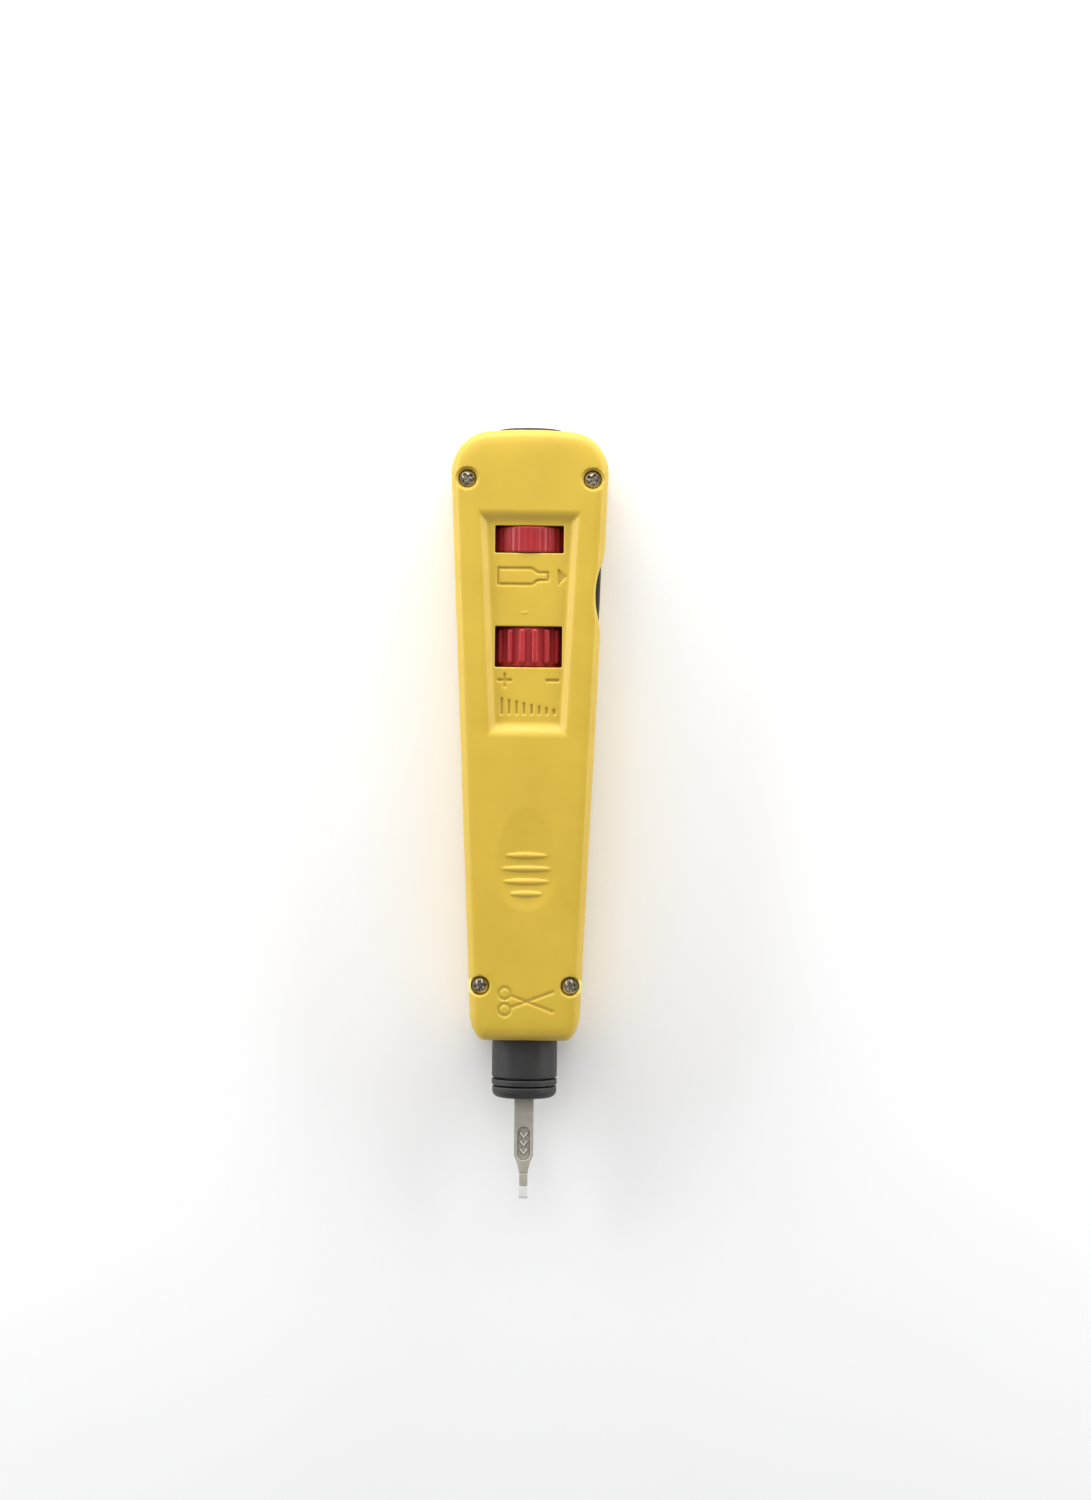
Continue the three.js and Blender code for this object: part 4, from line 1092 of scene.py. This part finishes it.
def make_wheels():
    y0, y1 = LOWER_WINDOW[1] + WINDOW_GAP, LOWER_WINDOW[2] - WINDOW_GAP
    ribs, rib_middle, rib_half_length, core_r, hub_r = 20, 35.9, 3.7, 8.05, 2.3

    def ribbed(p):
        off, radius = repeated(p, ribs)
        core = rounded(radius - core_r, slab(p[1], y0, y1), 0.35)
        flank = np.abs(off) - 0.56 - 0.12 * (WHEEL_R - radius)
        section = rounded(flank, radius - WHEEL_R, 0.32)
        around = rounded(section, np.abs(p[1] - rib_middle) - rib_half_length, 0.55)
        return rounded(smooth_min(core, around, 0.14), hub_r - radius, 0.2)

    high = (WHEEL_R + 0.4, y1 + 0.4, AXIS_Z + WHEEL_R + 0.4)
    body = Body((-high[0], y0 - 0.4, AXIS_Z - WHEEL_R - 0.4), high, voxel(0.11), ribbed)
    wheel = sculpt("impact_thumbwheel", body, reach=0.45)
    finish_piece(wheel, "impact_wheel", "impact_wheel", RED)

    band0, band1 = UPPER_WINDOW[1] + WINDOW_GAP, UPPER_WINDOW[2] - WINDOW_GAP
    start, end = 43.0, 78.1
    flutes, flute_depth = 44, 0.14
    bay_x, bay_r, bay_y = 3.4, 3.0, 45

    def drum(p):
        off, radius = repeated(p, flutes)
        scallop = flute_depth * (1 - np.cos(off / radius * flutes)) / 2
        band = rounded(radius - WHEEL_R + scallop, slab(p[1], band0, band1), 0.3)
        barrel = rounded(radius - DRUM_R, slab(p[1], start, end), 0.4)
        journal = rounded(radius - 2, slab(p[1], start - 1.1, start + 1), 0.2)
        return np.minimum(smooth_min(barrel, band, 0.4), journal)

    low, high = (-high[0], start - 1.5, AXIS_Z - WHEEL_R - 0.4), (high[0], end + 0.4, high[2])
    body = Body(low, high, voxel(0.16), drum)
    for side in (-1, 1):
        x = side * bay_x
        bay = lambda p, x=x: rod_y(p, bay_r, bay_y, 90, x=x)
        body.carve(bay, (x - bay_r, bay_y, AXIS_Z - bay_r), (x + bay_r, 80, AXIS_Z + bay_r), k=0.3)
    wheel = sculpt("storage_thumbwheel", body, reach=0.3)
    finish_piece(wheel, "storage_drum", "storage_drum", RED)


# ---- butt cap ----
def make_cap():
    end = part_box("butt_cap")[1].y / MM

    def cap(p):
        disc = rounded(around_axis(p) - CAP["r"], slab(p[1], 79.4, end), 0.5)
        flange_length = slab(p[1], CAP["flange_y0"], CAP["flange_y1"])
        flange = rounded(around_axis(p) - CAP["flange_r"], flange_length, 0.25)
        return smooth_min(disc, flange, 0.15)

    body = Body((-8.1, 78.0, AXIS_Z - 8.1), (8.1, end + 0.4, AXIS_Z + 8.1), voxel(0.13), cap)
    # The spare blade's way out, and a fine groove round the rim.
    exit_hole = lambda p: rod_y(p, 3.0, 70, 90, x=3.4)
    body.carve(exit_hole, (0.3, 78, AXIS_Z - 3.1), (6.5, 84, AXIS_Z + 3.1), k=0.4)
    groove = lambda p: np.hypot(around_axis(p) - 6.0, p[1] - end) - 0.22
    body.carve(groove, (-7, end - 0.5, AXIS_Z - 7), (7, end + 0.5, AXIS_Z + 7), k=0.1)
    finish_piece(sculpt("butt_plug", body, 120_000), "butt_cap", "housing", BLACK)


# ---- folding tools ----
def folding_outline(tip):
    x, y = BUTT_SCREW[:2]
    half = 2.3
    reach = math.sqrt(EYE_R**2 - half**2)
    start = math.atan2(-reach, half)
    eye = [
        (x + EYE_R * math.cos(t), y + EYE_R * math.sin(t))
        for t in np.linspace(start, math.pi - start, 40)
    ]
    inner = SLOT_X + GAP
    outer_top = (edge_x(y - 6), y - 6)
    return [(inner, y - 12)] + tip(inner) + [outer_top] + eye


def curve(a, control, b, steps=10):
    """Points after a along a curve that leans towards control and ends at b."""
    made = []
    for t in np.linspace(0, 1, steps + 1)[1:]:
        weights = ((1 - t) ** 2, 2 * t * (1 - t), t * t)
        made.append(tuple(sum(w * q[i] for w, q in zip(weights, (a, control, b))) for i in (0, 1)))
    return made


def edge_x(y):
    """The outer edge of a folding tool: nearly flush by the finger notch, further in beside the pivot."""
    return half_width(y) - 0.35 - 0.3 * np.clip((y - 48) / 10, 0, 1)


def pick_tip(inner):
    nose = (inner + 1.3, 29.6)
    return (
        [(inner, 36)]
        + curve((inner, 36), (inner + 0.5, 31), nose)
        + curve(nose, (inner + 2.2, 29.2), (edge_x(34), 34))
    )


def hook_tip(inner):
    toe, heel, mouth = (inner + 1.6, 29.5), (edge_x(33), 33), (inner + 1.3, 34.5)
    return (
        [(inner, 31)]
        + curve((inner, 31), (inner + 0.3, 29.5), toe)
        + curve(toe, (edge_x(31), 29.6), heel)
        + [(edge_x(34), 34.2), (inner + 2.1, 32.6)]
        + curve((inner + 2.1, 32.6), (inner + 1.1, 32.8), mouth)
        + [(inner + 1.6, 40), (edge_x(44), 44)]
    )


def make_folding_tool(name, node, tip, material, edge_r):
    low, high = (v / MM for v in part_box(node))
    outline = folding_outline(tip)
    x, y = BUTT_SCREW[:2]

    def bar(p):
        flat = polygon(outline, p[0], p[1])
        plate = rounded(flat, slab(p[2], low.z, high.z), edge_r)
        return rounded(plate, 2.1 - np.hypot(p[0] - x, p[1] - y), 0.15)

    spare = 0.4
    body = Body(
        (low.x - spare, low.y - spare, low.z - spare),
        (high.x + spare, high.y + spare, high.z + spare),
        voxel(0.1),
        bar,
    )
    nick = lambda p: ellipsoid(p, (half_width(47) + 1.1, 47, (low.z + high.z) / 2), (2.2, 4.5, 0.55))
    body.carve(nick, (12, 42, low.z), (17, 52, high.z), k=0.15)
    finish_piece(sculpt(name, body, 150_000), node, node, material)


# ---- coil springs ----
def coil_mesh(length, radius, wire, turns):
    """Vertices and triangles of a coil about Y from 0 to length, its turns closer near both ends."""
    sides, steps = 12, round(32 * turns)
    t = np.linspace(0, 1, steps + 1)
    closing = 0.3
    along = t - closing * np.sin(2 * math.pi * t) / (2 * math.pi)
    angle = 2 * math.pi * turns * t
    out = np.stack([np.cos(angle), np.zeros_like(t), np.sin(angle)], axis=1)
    middle = radius * out + np.outer(wire / 2 + (length - wire) * along, (0, 1, 0))
    heading = np.gradient(middle, axis=0)
    up = np.cross(out, heading)
    up /= np.linalg.norm(up, axis=1)[:, None]
    around = np.linspace(0, 2 * math.pi, sides, endpoint=False)
    rings = (
        middle[:, None]
        + wire / 2 * np.cos(around)[None, :, None] * out[:, None]
        + wire / 2 * np.sin(around)[None, :, None] * up[:, None]
    )
    first = np.arange(steps)[:, None] * sides
    here, after = np.arange(sides), (np.arange(sides) + 1) % sides
    a, b = first + here, first + after
    c, d = b + sides, a + sides
    walls = np.concatenate([np.stack(corners, -1).reshape(-1, 3) for corners in ((a, c, b), (a, d, c))])
    last = steps * sides
    near = [(0, i, i + 1) for i in range(1, sides - 1)]
    far = [(last, last + i + 1, last + i) for i in range(1, sides - 1)]
    return rings.reshape(-1, 3), np.concatenate([walls, near, far])


def make_spring(node, body, wire, turns, along_x=False):
    """A coil spring in its node's box. It rides on a moving body."""
    low, high = (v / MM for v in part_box(node))
    length = (high.x - low.x) if along_x else (high.y - low.y)
    radius = (high.z - low.z) / 2 - wire / 2
    vertices, faces = coil_mesh(length, radius, wire, turns)
    if along_x:
        vertices = vertices[:, [1, 0, 2]]
        faces = faces[:, ::-1]
        vertices += (low.x, (low.y + high.y) / 2, AXIS_Z)
    else:
        vertices += (0, low.y, AXIS_Z)
    coil = mesh_object(node + "_wire", vertices, faces)
    finish_piece(coil, node, body, SPRING)
    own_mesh(coil)


def make_springs():
    make_spring("main_spring", "hammer", wire=1.3, turns=5)
    make_spring("return_spring", "plunger", wire=0.8, turns=7)
    make_spring("latch_spring", "latch", wire=0.32, turns=3.5, along_x=True)


# ---- pieces inside, kept as the frame made them ----
def dress_frame_nodes():
    slots = {part["node"]: part["material_slot"] for part in frame["record"]["subparts"]}
    for name, node in frame["nodes"].items():
        node.data.materials.clear()
        node.data.materials.append(BY_SLOT[slots[name]])


# ---- stage ----
def area_light(name, place, target, size, watts):
    data = bpy.data.lights.new(name, "AREA")
    data.shape = "RECTANGLE"
    data.size, data.size_y = size
    data.energy = watts
    lamp = bpy.data.objects.new(name, data)
    lamp.location = place
    lamp.rotation_mode = "QUATERNION"
    lamp.rotation_quaternion = (Vector(target) - Vector(place)).to_track_quat("-Z", "Y")
    bpy.context.scene.collection.objects.link(lamp)


def make_floor():
    side, z = 3.0, -0.0003  # in metres
    corners = np.array([(-side, -side, z), (side, -side, z), (side, side, z), (-side, side, z)]) / MM
    floor = mesh_object("floor", corners, np.array([[0, 1, 2, 3]]))
    m = Nodes("pale_floor")
    drift = m.spread(m.noise(0.01, 2.0), 0.0, 1.0)
    m.link(m.between(drift, (0.86, 0.86, 0.865), (0.88, 0.88, 0.885)), m.shader.inputs["Base Color"])
    m.set("Roughness", 0.85)
    floor.data.materials.append(m.material)


def make_lights():
    """Places, targets and sizes in metres, and power in watts."""
    middle = (0, 0, 0.01)
    area_light("key_beyond_the_butt", (0.0, 0.60, 0.34), (0, 0.03, 0.01), (0.9, 0.3), 3.3)
    area_light("low_strip_beyond_the_butt", (0.0, 0.50, 0.10), (0, 0.06, 0.01), (0.7, 0.06), 1.9)
    area_light("top_softbox", (-0.14, 0.44, 0.95), middle, (0.8, 0.5), 2.2)
    area_light("left_strip", (-0.45, 0.16, 0.17), middle, (0.5, 0.16), 2.1)
    area_light("right_strip", (0.45, 0.16, 0.17), middle, (0.5, 0.16), 1.6)
    area_light("fill_at_the_nose", (0.1, -0.6, 0.4), (0, -0.03, 0.01), (0.6, 0.3), 0.8)
    world = bpy.data.worlds.new("studio")
    world.use_nodes = True
    world.node_tree.nodes["Background"].inputs["Color"].default_value = (1, 1, 1, 1)
    world.node_tree.nodes["Background"].inputs["Strength"].default_value = 0.25
    bpy.context.scene.world = world


def make_camera():
    data = bpy.data.cameras.new("camera")
    data.lens = 77.0
    data.sensor_width = 36.0
    data.clip_start = 0.05
    data.clip_end = 20.0
    camera = bpy.data.objects.new("camera", data)
    camera.location = (0.00385, 0.01387, 0.700)
    camera.rotation_euler = (0, 0, math.radians(0.58))
    bpy.context.scene.collection.objects.link(camera)
    bpy.context.scene.camera = camera


make_camera()
make_lights()
make_floor()
dress_frame_nodes()
make_shells()
make_screws()
make_nose()
make_blade()
make_wheels()
make_cap()
make_folding_tool("folding_pick", "pick", pick_tip, BLACK, 0.4)
make_folding_tool("folding_hook", "wire_hook", hook_tip, BLACK_OXIDE, 0.2)
make_springs()

bpy.context.scene.view_settings.view_transform = "Standard"
